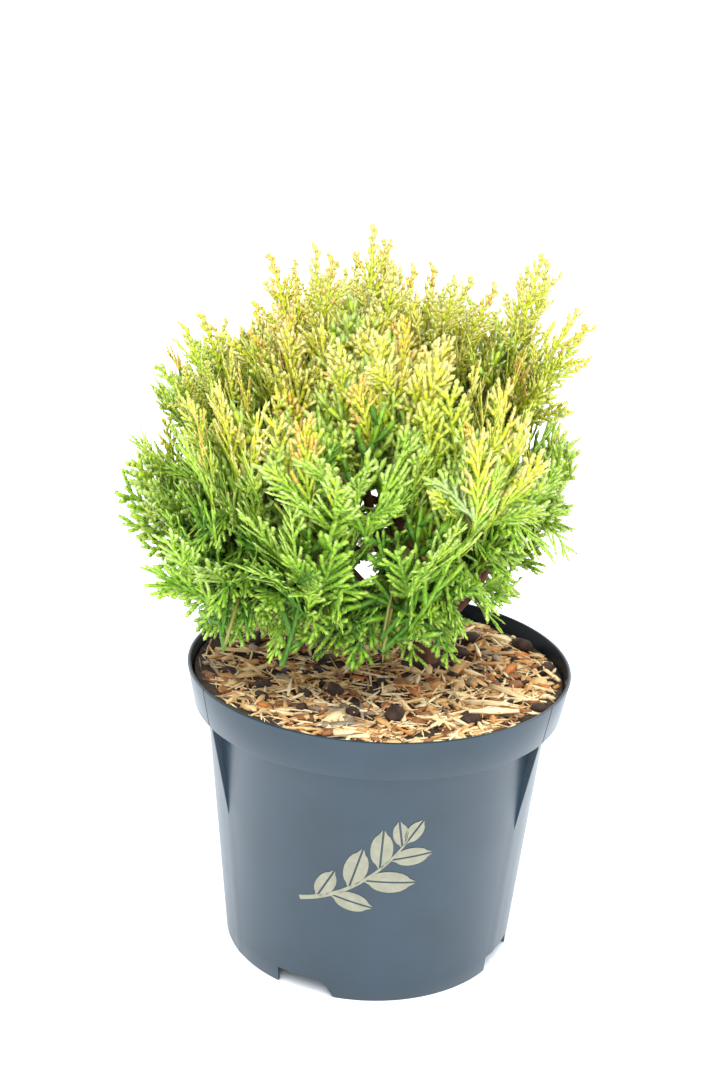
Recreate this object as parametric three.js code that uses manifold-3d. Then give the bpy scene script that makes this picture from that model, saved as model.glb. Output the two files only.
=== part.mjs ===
// A golden dwarf hiba in its round nursery pot.
// Millimetres, +Z up. The origin is on the pot's axis at the level it stands on, and -Y is the front.

import * as THREE from 'three';
import { mergeVertices } from 'three/addons/utils/BufferGeometryUtils.js';
import Module from 'manifold-3d';

const wasm = await Module();
wasm.setup();

// Driving dimensions

const CLEARANCE = 0.3;
const SEED = 4100;

const POT = {
  height: 141,
  lipRadius: 90,
  collarHeight: 19,
  collarFootRadius: 86.5,
  bodyTopRadius: 80.6,
  baseRadius: 69.1,
  wall: 1.8,
  floorLevel: 9,
  floorThickness: 2,
  bossRadius: 10,
  segments: 44,
};
const NOTCH = {
  count: 4,
  firstTurn: -111,
  widthAngle: 28,
  height: 8,
  slant: 5,
  steepSlant: 1,
  depth: 14,
  under: 1,
};
const DRAIN = { count: 6, ringRadius: 44, radius: 5, sides: 8 };

const MULCH = { level: 135.5, segments: 32, chips: 22, chipReach: 76, footClear: 17, edgeClear: 1 };
const CHIP = {
  shortest: 8,
  longest: 24,
  narrowest: 2.4,
  widest: 6,
  thinnest: 1.2,
  thickest: 3,
  tilt: 10,
  pitch: 5,
  liftShare: 0.1,
};

const TRUNK = {
  foot: [22, 18],
  top: [19, 15, 148],
  bow: 1,
  footRadius: 5.6,
  topRadius: 5.2,
  flare: 3.2,
  flarePower: 4,
  sides: 10,
  steps: 5,
  buried: 8,
  forkDepth: 3,
};

// Each stem leaves the fork of the trunk, bows through its middle place and ends at its tip.
const STEM = { rootRadius: 4, tipRadius: 1.9, sides: 6, steps: 5 };
const STEMS = {
  leader: { middle: [4, 8, 210], tip: [-10, 0, 268] },
  stem_left: { middle: [-22, 6, 188], tip: [-62, 2, 240] },
  stem_right: { middle: [47, 8, 186], tip: [52, 4, 252] },
  stem_front: { middle: [4, -12, 184], tip: [-12, -40, 244] },
  stem_back: { middle: [4, 36, 194], tip: [-6, 46, 246] },
};

// Each mass is a round lobe of foliage, seen from the heart of the crown: it lies at a turn round
// the heart (0 right, -90 front) and a rise above it, its furthest tips are at its reach, and its
// spread is the lobe's radius. It is carried by a bough that leaves a stem at a share of its
// length, or by the tip of the stem itself where the share is 1.
const HEART = new THREE.Vector3(-12, 4, 220);
const MASSES = [
  { name: 'left_wing', turn: 182, rise: 1, reach: 113, spread: 39, stem: 'stem_left', share: 0.72 },
  { name: 'left_front_low', turn: -143, rise: -16, reach: 108, spread: 41, stem: 'stem_left', share: 0.5 },
  { name: 'front_left_low', turn: -108, rise: -6, reach: 100, spread: 41, stem: 'stem_front', share: 0.6 },
  { name: 'front_right_low', turn: -66, rise: -5, reach: 98, spread: 41, stem: 'stem_front', share: 0.42 },
  { name: 'right_front_low', turn: -32, rise: -14, reach: 94, spread: 37, stem: 'stem_right', share: 0.36 },
  { name: 'right_low', turn: 16, rise: -7, reach: 99, spread: 37, stem: 'stem_right', share: 0.5 },
  { name: 'skirt_front', turn: -92, rise: -40, reach: 86, spread: 30, stem: 'stem_front', share: 0.25 },
  { name: 'skirt_left', turn: -170, rise: -34, reach: 101, spread: 33, stem: 'stem_left', share: 0.3 },
  { name: 'left_shoulder', turn: 172, rise: 34, reach: 113, spread: 39, stem: 'stem_left', share: 1 },
  { name: 'left_front_gold', turn: -137, rise: 24, reach: 105, spread: 42, stem: 'stem_left', share: 0.86 },
  { name: 'front_gold', turn: -98, rise: 26, reach: 105, spread: 41, stem: 'stem_front', share: 1 },
  { name: 'right_front_gold', turn: -48, rise: 26, reach: 109, spread: 44, stem: 'stem_right', share: 0.7 },
  { name: 'right_wing', turn: -4, rise: 14, reach: 105, spread: 38, stem: 'stem_right', share: 0.82 },
  { name: 'right_shoulder', turn: 6, rise: 46, reach: 121, spread: 38, stem: 'stem_right', share: 1 },
  { name: 'crown_front', turn: -74, rise: 54, reach: 108, spread: 37, stem: 'leader', share: 0.6 },
  { name: 'crown_back', turn: 118, rise: 66, reach: 105, spread: 36, stem: 'leader', share: 0.5 },
  { name: 'top_left', turn: -165, rise: 64, reach: 109, spread: 37, stem: 'leader', share: 0.72 },
  { name: 'top', turn: -100, rise: 83, reach: 111, spread: 36, stem: 'leader', share: 1 },
  { name: 'top_right', turn: 30, rise: 72, reach: 106, spread: 34, stem: 'leader', share: 0.84 },
  { name: 'back_left_high', turn: 133, rise: 32, reach: 107, spread: 42, stem: 'stem_back', share: 0.88 },
  { name: 'back_high', turn: 90, rise: 42, reach: 106, spread: 42, stem: 'stem_back', share: 1 },
  { name: 'back_right_high', turn: 48, rise: 28, reach: 107, spread: 42, stem: 'stem_back', share: 0.78 },
  { name: 'back_left_low', turn: 142, rise: -14, reach: 102, spread: 42, stem: 'stem_back', share: 0.6 },
  { name: 'back_low', turn: 96, rise: -12, reach: 100, spread: 42, stem: 'stem_back', share: 0.48 },
  { name: 'back_right_low', turn: 52, rise: -11, reach: 98, spread: 41, stem: 'stem_back', share: 0.34 },
];

// Upright shoots that stand out above the crown, each given by its tip.
const SPIRES = [
  { mass: 'left_shoulder', tip: [-102, -4, 283] },
  { mass: 'left_shoulder', tip: [-86, 0, 302] },
  { mass: 'top_left', tip: [-52, -2, 331] },
  { mass: 'top_left', tip: [-36, -6, 335] },
  { mass: 'top', tip: [-11, -4, 345] },
  { mass: 'top', tip: [-2, 8, 333] },
  { mass: 'top_right', tip: [17, -2, 328] },
  { mass: 'top_right', tip: [32, 2, 320] },
  { mass: 'right_shoulder', tip: [57, -4, 332] },
  { mass: 'right_shoulder', tip: [67, 4, 333] },
  { mass: 'right_shoulder', tip: [87, 2, 304] },
  { mass: 'back_high', tip: [-20, 52, 322] },
  { mass: 'back_right_high', tip: [38, 52, 304] },
];

// Low boughs bow upwards and high ones downwards, and each ends at a share of its mass's spread
// from the mass's centre.
const BOUGH = {
  rootRadius: 2.2,
  tipRadius: 1.4,
  sides: 5,
  steps: 3,
  lowBow: 4.2,
  highBow: -3.5,
  rootDepth: 0.72,
};
const MASS_STEM = { rootRadius: 1.3, tipRadius: 1, sides: 3, steps: 2 };
const CORE = { share: 0.3, inset: 0.12, detail: 0, smallest: 2, step: 0.5 };
const TWIG = {
  count: 14,
  countWithSpires: 11,
  widest: 128,
  leastForward: 0.24,
  mostForward: 0.56,
  rootShare: 0.45,
  rootRadius: 1,
  tipRadius: 0.8,
  shortest: 4,
  sideSprayAt: 0.6,
};
const SPRAY = {
  length: 45,
  shortest: 16,
  thickness: 2.6,
  pole: 0.4,
  turn: 42,
  sink: 1.6,
  twists: [0, 30, -30, 60, -60],
  mostCrossed: 0.5,
  shrink: 0.85,
  shortestTooth: 0.88,
  sideShare: 0.8,
};
// The upper side of a spray is turned outwards and up, and strays by these shares.
const FACING = { out: 0.5, up: 0.5, straySideways: 0.6, strayUp: 0.3 };
// Twigs hang in the lowest masses and turn up in the highest.
const LIFT = { lowest: -8, highest: 8, lowestRise: -30, highestRise: 60 };
const SPIRE = { length: 27, sideSprays: 3, turn: 32, firstSideAt: 0.98, lastSideAt: 0.55, stray: 0.6 };
const SPACE_GAP = 0.3;
const LIP_REACH = 80;
const LOWEST_OVER_MULCH = 141;
const LOWEST_OVER_LIP = 144;

const GOLD_FROM_RISE = 20;
const LIME_FROM_RISE = -5;
const COLOURS = {
  pot: '#66747f',
  soil: '#33251b',
  mulch: '#b8925f',
  bark: '#6e4630',
  gold: '#dfcf58',
  lime: '#a8c142',
  green: '#6d9a35',
};

// Small helpers

const UP = new THREE.Vector3(0, 0, 1);
const radians = THREE.MathUtils.degToRad;
const lerp = THREE.MathUtils.lerp;

function seeded(seed) {
  let state = seed;
  return () => {
    state = (state + 0x6d2b79f5) | 0;
    let mixed = Math.imul(state ^ (state >>> 15), 1 | state);
    mixed = (mixed + Math.imul(mixed ^ (mixed >>> 7), 61 | mixed)) ^ mixed;
    return ((mixed ^ (mixed >>> 14)) >>> 0) / 4294967296;
  };
}

function place(xyz) {
  return new THREE.Vector3(xyz[0], xyz[1], xyz[2]);
}

function across(direction, wanted) {
  return wanted.clone().addScaledVector(direction, -wanted.dot(direction)).normalize();
}

function toSolid(geometry) {
  const bare = geometry.clone();
  bare.deleteAttribute('normal');
  bare.deleteAttribute('uv');
  const merged = mergeVertices(bare);
  const vertProperties = new Float32Array(merged.attributes.position.array);
  const triVerts = new Uint32Array(merged.index.array);
  return new wasm.Manifold(new wasm.Mesh({ numProp: 3, vertProperties, triVerts }));
}

function toGeometry(solid) {
  const mesh = solid.getMesh();
  const geometry = new THREE.BufferGeometry();
  geometry.setAttribute('position', new THREE.BufferAttribute(new Float32Array(mesh.vertProperties), 3));
  geometry.setIndex(new THREE.BufferAttribute(new Uint32Array(mesh.triVerts), 1));
  geometry.computeVertexNormals();
  return geometry;
}

// The largest closed body, which drops loose scraps and fills any hollow that joining has sealed.
function mainBody(solid) {
  const bodies = solid.decompose();
  bodies.sort((a, b) => b.volume() - a.volume());
  return bodies[0];
}

function touches(solid, others) {
  return others.some((other) => solid.intersect(other).volume() > 0);
}

// Pot

function turnedSolid(profile, segments) {
  const points = profile.map(([radius, level]) => new THREE.Vector2(radius, level));
  const geometry = new THREE.LatheGeometry(points, segments);
  geometry.rotateX(Math.PI / 2);
  return toSolid(geometry);
}

function notchCutter(turn) {
  const halfWidth = POT.baseRadius * Math.sin(radians(NOTCH.widthAngle / 2));
  const outline = new THREE.Shape();
  outline.moveTo(-halfWidth, -NOTCH.under);
  outline.lineTo(halfWidth, -NOTCH.under);
  outline.lineTo(halfWidth, 0);
  outline.lineTo(halfWidth - NOTCH.slant, NOTCH.height);
  outline.lineTo(NOTCH.steepSlant - halfWidth, NOTCH.height);
  outline.lineTo(-halfWidth, 0);
  outline.closePath();
  const geometry = new THREE.ExtrudeGeometry(outline, { depth: NOTCH.depth, bevelEnabled: false });
  geometry.rotateX(Math.PI / 2);
  geometry.translate(0, POT.baseRadius + NOTCH.depth / 2, 0);
  geometry.rotateZ(radians(turn - 90));
  return toSolid(geometry);
}

function drainCutter(turn) {
  const depth = POT.floorThickness * 3;
  const geometry = new THREE.CylinderGeometry(DRAIN.radius, DRAIN.radius, depth, DRAIN.sides);
  geometry.rotateX(Math.PI / 2);
  geometry.translate(DRAIN.ringRadius, 0, POT.floorLevel + POT.floorThickness / 2);
  geometry.rotateZ(radians(turn));
  return toSolid(geometry);
}

function potInnerRadius(level) {
  const ledge = POT.height - POT.collarHeight;
  if (level < ledge + POT.wall) {
    return lerp(POT.baseRadius, POT.bodyTopRadius, level / ledge) - POT.wall;
  }
  const share = (level - ledge) / POT.collarHeight;
  return lerp(POT.collarFootRadius, POT.lipRadius, share) - POT.wall;
}

function makePot() {
  const ledge = POT.height - POT.collarHeight;
  const floorTop = POT.floorLevel + POT.floorThickness;
  const profile = [
    [0, 0],
    [POT.bossRadius, 0],
    [POT.bossRadius, POT.floorLevel],
    [potInnerRadius(POT.floorLevel), POT.floorLevel],
    [POT.baseRadius - POT.wall, 0],
    [POT.baseRadius, 0],
    [POT.bodyTopRadius, ledge],
    [POT.collarFootRadius, ledge],
    [POT.lipRadius, POT.height],
    [POT.lipRadius - POT.wall, POT.height],
    [potInnerRadius(ledge + POT.wall), ledge + POT.wall],
    [POT.bodyTopRadius - POT.wall, ledge + POT.wall],
    [potInnerRadius(floorTop), floorTop],
    [0, floorTop],
  ];
  let pot = turnedSolid(profile, POT.segments);
  for (let i = 0; i < NOTCH.count; i += 1) {
    pot = pot.subtract(notchCutter(NOTCH.firstTurn + (i * 360) / NOTCH.count));
  }
  for (let i = 0; i < DRAIN.count; i += 1) {
    pot = pot.subtract(drainCutter((i * 360) / DRAIN.count));
  }
  return mainBody(pot);
}

// Soil and mulch

const MULCH_BOTTOM = POT.height - POT.collarHeight + POT.wall + CLEARANCE;

function makeSoil() {
  const bottom = POT.floorLevel + POT.floorThickness + CLEARANCE;
  const top = MULCH_BOTTOM - CLEARANCE;
  const profile = [
    [0, bottom],
    [potInnerRadius(bottom) - CLEARANCE, bottom],
    [POT.bodyTopRadius - POT.wall - CLEARANCE, top],
    [0, top],
  ];
  return turnedSolid(profile, MULCH.segments);
}

function makeChip(random) {
  const length = lerp(CHIP.shortest, CHIP.longest, random());
  const width = lerp(CHIP.narrowest, CHIP.widest, random());
  const thickness = lerp(CHIP.thinnest, CHIP.thickest, random());
  const geometry = new THREE.BoxGeometry(length, width, thickness);
  geometry.rotateX(radians(lerp(-CHIP.tilt, CHIP.tilt, random())));
  geometry.rotateY(radians(lerp(-CHIP.pitch, CHIP.pitch, random())));
  geometry.rotateZ(random() * Math.PI * 2);
  const turn = random() * Math.PI * 2;
  const radius = MULCH.chipReach * Math.sqrt(random());
  const level = MULCH.level + thickness * CHIP.liftShare;
  geometry.translate(radius * Math.cos(turn), radius * Math.sin(turn), level);
  return geometry;
}

function makeMulch() {
  const random = seeded(SEED);
  const profile = [
    [0, MULCH_BOTTOM],
    [potInnerRadius(MULCH_BOTTOM) - CLEARANCE, MULCH_BOTTOM],
    [potInnerRadius(MULCH.level) - CLEARANCE, MULCH.level],
    [0, MULCH.level],
  ];
  let mulch = turnedSolid(profile, MULCH.segments);
  for (let i = 0; i < MULCH.chips; i += 1) {
    const chip = makeChip(random);
    chip.computeBoundingSphere();
    const middle = chip.boundingSphere.center;
    const clear = chip.boundingSphere.radius + MULCH.footClear;
    const fromFoot = Math.hypot(middle.x - TRUNK.foot[0], middle.y - TRUNK.foot[1]);
    const outer = Math.hypot(middle.x, middle.y) + chip.boundingSphere.radius;
    if (fromFoot > clear && outer < potInnerRadius(MULCH.level) - MULCH.edgeClear) {
      mulch = mulch.add(toSolid(chip));
    }
  }
  return mainBody(mulch);
}

// Trunk, stems and boughs

// A closed, tapering limb along a curve: a cylinder whose rings are set out on the curve. A limb
// may be grown by a clearance all round and at both ends.
function limbGeometry(curve, size, grown = 0) {
  const { rootRadius, tipRadius, sides, steps, flare = 0, flarePower = 1 } = size;
  const geometry = new THREE.CylinderGeometry(1, 1, 1, sides, steps);
  const rings = curve.computeFrenetFrames(steps);
  const points = geometry.attributes.position;
  for (let i = 0; i < points.count; i += 1) {
    const step = Math.round((points.getY(i) + 0.5) * steps);
    const share = step / steps;
    const radius = lerp(rootRadius, tipRadius, share) + flare * (1 - share) ** flarePower + grown;
    const point = curve.getPointAt(share);
    if (step === 0 || step === steps) {
      point.addScaledVector(rings.tangents[step], step === 0 ? -grown : grown);
    }
    point.addScaledVector(rings.normals[step], points.getX(i) * radius);
    point.addScaledVector(rings.binormals[step], -points.getZ(i) * radius);
    points.setXYZ(i, point.x, point.y, point.z);
  }
  return geometry;
}

function bow(start, middle, end) {
  return new THREE.CatmullRomCurve3([start, middle, end]);
}

const GROUND = MULCH.level + CLEARANCE;
const limbs = {};
const grownLimbs = [];

function clearOfLimbs(solid) {
  return grownLimbs.reduce((rest, other) => rest.subtract(other), solid);
}

// Adds a limb, cut clear of the limbs that are there already, and keeps a slightly fatter copy of
// it, which later limbs are cut by and which twigs and sprays have to miss.
function addLimb(name, curve, size) {
  const solid = mainBody(clearOfLimbs(toSolid(limbGeometry(curve, size))));
  grownLimbs.push(toSolid(limbGeometry(curve, size, CLEARANCE)));
  limbs[name] = { solid, curve };
}

// The trunk starts below the mulch and is cut flat where it comes out.
function addTrunk() {
  const foot = new THREE.Vector3(TRUNK.foot[0], TRUNK.foot[1], GROUND);
  const top = place(TRUNK.top);
  const middle = foot.clone().lerp(top, 0.5);
  middle.x += TRUNK.bow;
  const below = foot.clone().addScaledVector(UP, -TRUNK.buried);
  addLimb('trunk', bow(below, middle, top), {
    rootRadius: TRUNK.footRadius,
    tipRadius: TRUNK.topRadius,
    sides: TRUNK.sides,
    steps: TRUNK.steps,
    flare: TRUNK.flare,
    flarePower: TRUNK.flarePower,
  });
  const blockSize = 4 * (TRUNK.footRadius + TRUNK.flare);
  const block = new THREE.BoxGeometry(blockSize, blockSize, blockSize);
  block.translate(foot.x, foot.y, GROUND - blockSize / 2);
  limbs.trunk.solid = mainBody(limbs.trunk.solid.subtract(toSolid(block)));
}

function addStems() {
  const start = place(TRUNK.top).addScaledVector(UP, -TRUNK.forkDepth);
  for (const [name, stem] of Object.entries(STEMS)) {
    addLimb(name, bow(start, place(stem.middle), place(stem.tip)), STEM);
  }
}

// Spaces of the masses

function outward(mass) {
  const turn = radians(mass.turn);
  const rise = radians(mass.rise);
  return new THREE.Vector3(
    Math.cos(rise) * Math.cos(turn),
    Math.cos(rise) * Math.sin(turn),
    Math.sin(rise),
  );
}

for (const mass of MASSES) {
  mass.out = outward(mass);
  mass.centre = HEART.clone().addScaledVector(mass.out, mass.reach - mass.spread);
}

// How far a point is inside the flat wall between two masses. The walls stand where the two lobes
// cross, so each mass has a convex space of its own.
function insideWall(point, mass, other) {
  const own = point.distanceToSquared(mass.centre) - mass.spread ** 2;
  const others = point.distanceToSquared(other.centre) - other.spread ** 2;
  return (others - own) / (2 * mass.centre.distanceTo(other.centre));
}

function inCell(point, mass) {
  const radius = Math.hypot(point.x, point.y);
  const lowest = radius > LIP_REACH ? LOWEST_OVER_LIP : LOWEST_OVER_MULCH;
  if (point.z < lowest) {
    return false;
  }
  return MASSES.every((other) => other === mass || insideWall(point, mass, other) > SPACE_GAP);
}

function inLobe(point, mass) {
  return point.distanceTo(mass.centre) < mass.spread && inCell(point, mass);
}

function reachInside(start, heading, mass) {
  let length = 0;
  const point = start.clone();
  while (length < mass.spread * 2 && inLobe(point, mass)) {
    point.addScaledVector(heading, 1);
    length += 1;
  }
  return length;
}

// Sprays: flat, toothed blades that widen from the root, with two teeth a side, pointing forwards.
// One half of the outline, as shares of the length along and across.

const SPRAY_HALF = [
  [0.46, 0.28],
  [0.53, 0.15],
  [0.8, 0.2],
];

function sprayGeometry(root, heading, normal, length, random) {
  const outline = [[0, 0], ...SPRAY_HALF, [1, 0]];
  for (const [along, side] of [...SPRAY_HALF].reverse()) {
    outline.push([along, -side]);
  }
  const geometry = new THREE.SphereGeometry(1, outline.length, 2);
  const points = geometry.attributes.position;
  const sideways = heading.clone().cross(normal);
  const ragged = outline.map((corner, index) => (index === 0 ? 1 : lerp(SPRAY.shortestTooth, 1, random())));
  for (let i = 0; i < points.count; i += 1) {
    const corner = (i % (outline.length + 1)) % outline.length;
    const isPole = Math.abs(points.getY(i)) > 0.5;
    const along = isPole ? SPRAY.pole : outline[corner][0] * ragged[corner];
    const side = isPole ? 0 : outline[corner][1] * ragged[corner];
    const height = isPole ? (Math.sign(points.getY(i)) * SPRAY.thickness) / 2 : 0;
    const point = root.clone();
    point.addScaledVector(heading, along * length);
    point.addScaledVector(sideways, side * length);
    point.addScaledVector(normal, height);
    points.setXYZ(i, point.x, point.y, point.z);
  }
  return geometry;
}

function allInside(geometry, mass) {
  const points = geometry.attributes.position;
  const point = new THREE.Vector3();
  for (let i = 0; i < points.count; i += 1) {
    point.fromBufferAttribute(points, i);
    if (!inCell(point, mass)) {
      return false;
    }
  }
  return true;
}

// Adds a spray, turned and shortened until it keeps to the mass's space, clears every limb and
// hardly crosses the other sprays, or adds none.
function addSpray(growth, start, heading, normal, fullLength) {
  const root = start.clone().addScaledVector(heading, -SPRAY.sink);
  const shape = seeded(Math.round(growth.random() * 1e6));
  for (let length = fullLength; length >= SPRAY.shortest; length *= SPRAY.shrink) {
    for (const twist of SPRAY.twists) {
      const twisted = normal.clone().applyAxisAngle(heading, radians(twist));
      const geometry = sprayGeometry(root, heading, twisted, length, shape);
      if (allInside(geometry, growth.mass)) {
        const spray = toSolid(geometry);
        const crossed = growth.sprays ? spray.intersect(growth.sprays).volume() : 0;
        if (crossed < SPRAY.mostCrossed && !touches(spray, grownLimbs)) {
          growth.sprays = growth.sprays ? growth.sprays.add(spray) : spray;
          return;
        }
      }
    }
  }
}

// Twigs

function twigSolid(start, end) {
  const middle = start.clone().lerp(end, 0.5);
  const size = { rootRadius: TWIG.rootRadius, tipRadius: TWIG.tipRadius, sides: 3, steps: 1 };
  return toSolid(limbGeometry(bow(start, middle, end), size));
}

function sprayNormal(heading, mass, random) {
  const wanted = mass.out.clone().multiplyScalar(FACING.out).addScaledVector(UP, FACING.up);
  wanted.x += lerp(-FACING.straySideways, FACING.straySideways, random());
  wanted.y += lerp(-FACING.straySideways, FACING.straySideways, random());
  wanted.z += lerp(-FACING.strayUp, FACING.strayUp, random());
  return across(heading, wanted);
}

function turnedBy(heading, sideways, degrees) {
  const turn = radians(degrees);
  return heading.clone().multiplyScalar(Math.cos(turn)).addScaledVector(sideways, Math.sin(turn));
}

function liftOf(mass) {
  const share = (mass.rise - LIFT.lowestRise) / (LIFT.highestRise - LIFT.lowestRise);
  return lerp(LIFT.lowest, LIFT.highest, THREE.MathUtils.clamp(share, 0, 1));
}

// A spray that reaches the edge of the space in its direction. Where that edge is further from the
// core than a spray is long, a twig carries it there, with a second spray on the twig's side.
function growTwig(growth, direction, side) {
  const { mass, random, core } = growth;
  const start = core.centre.clone().addScaledVector(direction, core.radius * TWIG.rootShare);
  const target = mass.centre.clone().addScaledVector(direction, mass.spread);
  const forward = lerp(TWIG.leastForward, TWIG.mostForward, random()) * mass.spread;
  const sideShare = direction.clone().cross(mass.out).length();
  target.addScaledVector(UP, liftOf(mass)).addScaledVector(mass.out, forward * sideShare);
  const heading = target.sub(start).normalize();
  const room = reachInside(start, heading, mass);
  const normal = sprayNormal(heading, mass, random);
  if (room < SPRAY.length + TWIG.shortest) {
    addSpray(growth, start, heading, normal, Math.min(room, SPRAY.length));
    return;
  }
  const twigEnd = start.clone().addScaledVector(heading, room - SPRAY.length);
  const twig = twigSolid(start, twigEnd);
  if (touches(twig, grownLimbs)) {
    return;
  }
  growth.solid = growth.solid.add(twig);
  const sideways = heading.clone().cross(normal);
  const sideHeading = turnedBy(heading, sideways, SPRAY.turn * side);
  addSpray(growth, twigEnd, heading, normal, SPRAY.length);
  const sideStart = start.clone().lerp(twigEnd, TWIG.sideSprayAt);
  addSpray(growth, sideStart, sideHeading, normal, SPRAY.length * SPRAY.sideShare);
}

function growSpire(growth, spire) {
  const { random } = growth;
  const tip = place(spire.tip);
  const start = growth.core.centre.clone();
  const heading = tip.clone().sub(start).normalize();
  const twigEnd = tip.clone().addScaledVector(heading, -SPIRE.length);
  growth.solid = growth.solid.add(twigSolid(start, twigEnd));
  const normal = across(heading, new THREE.Vector3(lerp(-SPIRE.stray, SPIRE.stray, random()), -1, 0));
  const sideways = heading.clone().cross(normal);
  addSpray(growth, twigEnd, heading, normal, SPIRE.length + SPRAY.sink);
  for (let i = 0; i < SPIRE.sideSprays; i += 1) {
    const share = lerp(SPIRE.firstSideAt, SPIRE.lastSideAt, i / (SPIRE.sideSprays - 1));
    const sideHeading = turnedBy(heading, sideways, SPIRE.turn * (i % 2 === 0 ? 1 : -1));
    addSpray(growth, start.clone().lerp(twigEnd, share), sideHeading, normal, SPIRE.length);
  }
}

// Masses

const GOLDEN_TURN = 137.5;
const SIDE_HINT = new THREE.Vector3(0.3, 0.2, 1);

// A smaller core, kept well inside the mass's space and clear of every limb.
function makeCore(mass) {
  const centre = mass.centre.clone().addScaledVector(mass.out, -CORE.inset * mass.spread);
  for (let radius = CORE.share * mass.spread; radius > CORE.smallest; radius -= CORE.step) {
    const geometry = new THREE.IcosahedronGeometry(radius, CORE.detail);
    geometry.translate(centre.x, centre.y, centre.z);
    const solid = toSolid(geometry);
    if (allInside(geometry, mass) && !touches(solid, grownLimbs)) {
      return { solid, centre, radius };
    }
  }
  throw new Error(`no room for the core of ${mass.name} at ${centre.toArray()}`);
}

function growMass(mass, index) {
  const random = seeded(SEED + 17 * (index + 1));
  const core = makeCore(mass);
  const middle = mass.root.clone().lerp(core.centre, 0.5).addScaledVector(UP, 1);
  const stem = bow(mass.root, middle, core.centre);
  const stemSolid = clearOfLimbs(toSolid(limbGeometry(stem, MASS_STEM)));
  const growth = { mass, random, core, solid: stemSolid.add(core.solid), sprays: null };
  const spires = SPIRES.filter((one) => one.mass === mass.name);
  for (const spire of spires) {
    growSpire(growth, spire);
  }
  // Directions spread evenly round the mass's outward one, from straight out to the widest turn.
  const count = spires.length > 0 ? TWIG.countWithSpires : TWIG.count;
  const capHeight = 1 - Math.cos(radians(TWIG.widest));
  for (let i = 0; i < count; i += 1) {
    const tilt = THREE.MathUtils.radToDeg(Math.acos(1 - (capHeight * (i + 0.5)) / count));
    const side = across(mass.out, SIDE_HINT);
    side.applyAxisAngle(mass.out, radians(i * GOLDEN_TURN));
    growTwig(growth, turnedBy(mass.out, side, tilt), i % 2 === 0 ? 1 : -1);
  }
  growth.solid = mainBody(growth.solid.add(growth.sprays));
  return growth;
}

// The place where a mass is joined to its limb, and the bough that brings it there.
function addBough(mass) {
  const stem = limbs[mass.stem];
  if (mass.share === 1) {
    mass.root = stem.curve.getPointAt(1);
    return;
  }
  const start = stem.curve.getPointAt(mass.share);
  const inwards = start.clone().sub(mass.centre).normalize();
  const tip = mass.centre.clone().addScaledVector(inwards, mass.spread * BOUGH.rootDepth);
  const middle = start.clone().lerp(tip, 0.5);
  middle.addScaledVector(UP, mass.rise < 0 ? BOUGH.lowBow : BOUGH.highBow);
  addLimb(`bough_${mass.name}`, bow(start, middle, tip), BOUGH);
  mass.root = tip;
}

// The whole plant in its pot

const object = new THREE.Group();

function show(name, solid, colour, roughness) {
  const material = new THREE.MeshStandardMaterial({ color: colour, roughness, metalness: 0 });
  const mesh = new THREE.Mesh(toGeometry(solid), material);
  mesh.name = name;
  object.add(mesh);
}

show('pot', makePot(), COLOURS.pot, 0.45);
show('potting_soil', makeSoil(), COLOURS.soil, 0.95);
show('wood_chip_mulch', makeMulch(), COLOURS.mulch, 0.9);

addTrunk();
addStems();
for (const mass of MASSES) {
  addBough(mass);
}
for (const [name, limb] of Object.entries(limbs)) {
  show(name, limb.solid, COLOURS.bark, 0.9);
}

function massColour(mass) {
  if (mass.rise > GOLD_FROM_RISE) {
    return COLOURS.gold;
  }
  return mass.rise > LIME_FROM_RISE ? COLOURS.lime : COLOURS.green;
}

MASSES.forEach((mass, index) => {
  show(`foliage_${mass.name}`, growMass(mass, index).solid, massColour(mass), 0.7);
});

export default object;
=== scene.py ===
# %% [markdown]
# # A golden dwarf hiba in its nursery pot
#
# This lesson dresses a imported model of a small conifer in its pot. The model holds plain solids at
# their real size: a pot, its soil and mulch, a trunk with stems and boughs, and coarse masses of
# foliage. Each of them gets its fine surface here, in the same place and to the same size, so
# nothing has to be fitted afterwards. The model is loaded first.

# %% Load the plain model
import math
import random

import bpy
import numpy as np
from mathutils import Matrix, Vector, noise


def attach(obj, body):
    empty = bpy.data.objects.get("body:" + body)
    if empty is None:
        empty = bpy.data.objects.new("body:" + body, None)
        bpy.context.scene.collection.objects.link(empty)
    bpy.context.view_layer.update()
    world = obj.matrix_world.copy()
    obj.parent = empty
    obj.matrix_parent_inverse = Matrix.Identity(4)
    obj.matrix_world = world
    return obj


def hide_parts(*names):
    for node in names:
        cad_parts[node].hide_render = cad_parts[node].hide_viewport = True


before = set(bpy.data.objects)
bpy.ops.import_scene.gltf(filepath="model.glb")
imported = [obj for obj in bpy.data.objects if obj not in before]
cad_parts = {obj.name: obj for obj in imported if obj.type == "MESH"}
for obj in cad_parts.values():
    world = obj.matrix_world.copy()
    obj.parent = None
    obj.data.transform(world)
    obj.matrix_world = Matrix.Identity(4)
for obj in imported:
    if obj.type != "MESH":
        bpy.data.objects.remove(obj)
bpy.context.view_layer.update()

# %% [markdown]
# ## Helpers
#
# Blender works in metres, and a pot is easier to think of in millimetres, so sizes are written in
# millimetres and multiplied by MM. Colours are picked as sRGB hex values, while shaders mix
# light in linear values, so one function turns the first into the second. A second one adds a
# shader node with its settings and links, which keeps every material short enough to read.

# %% Units, colours and nodes
MM = 0.001
SEED = 4100


def linear(hex_colour):
    """An sRGB hex value as linear red, green, blue and alpha."""
    channels = [int(hex_colour[i:i + 2], 16) / 255 for i in (1, 3, 5)]
    bent = [c / 12.92 if c <= 0.04045 else ((c + 0.055) / 1.055) ** 2.4 for c in channels]
    return (*bent, 1.0)


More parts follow.
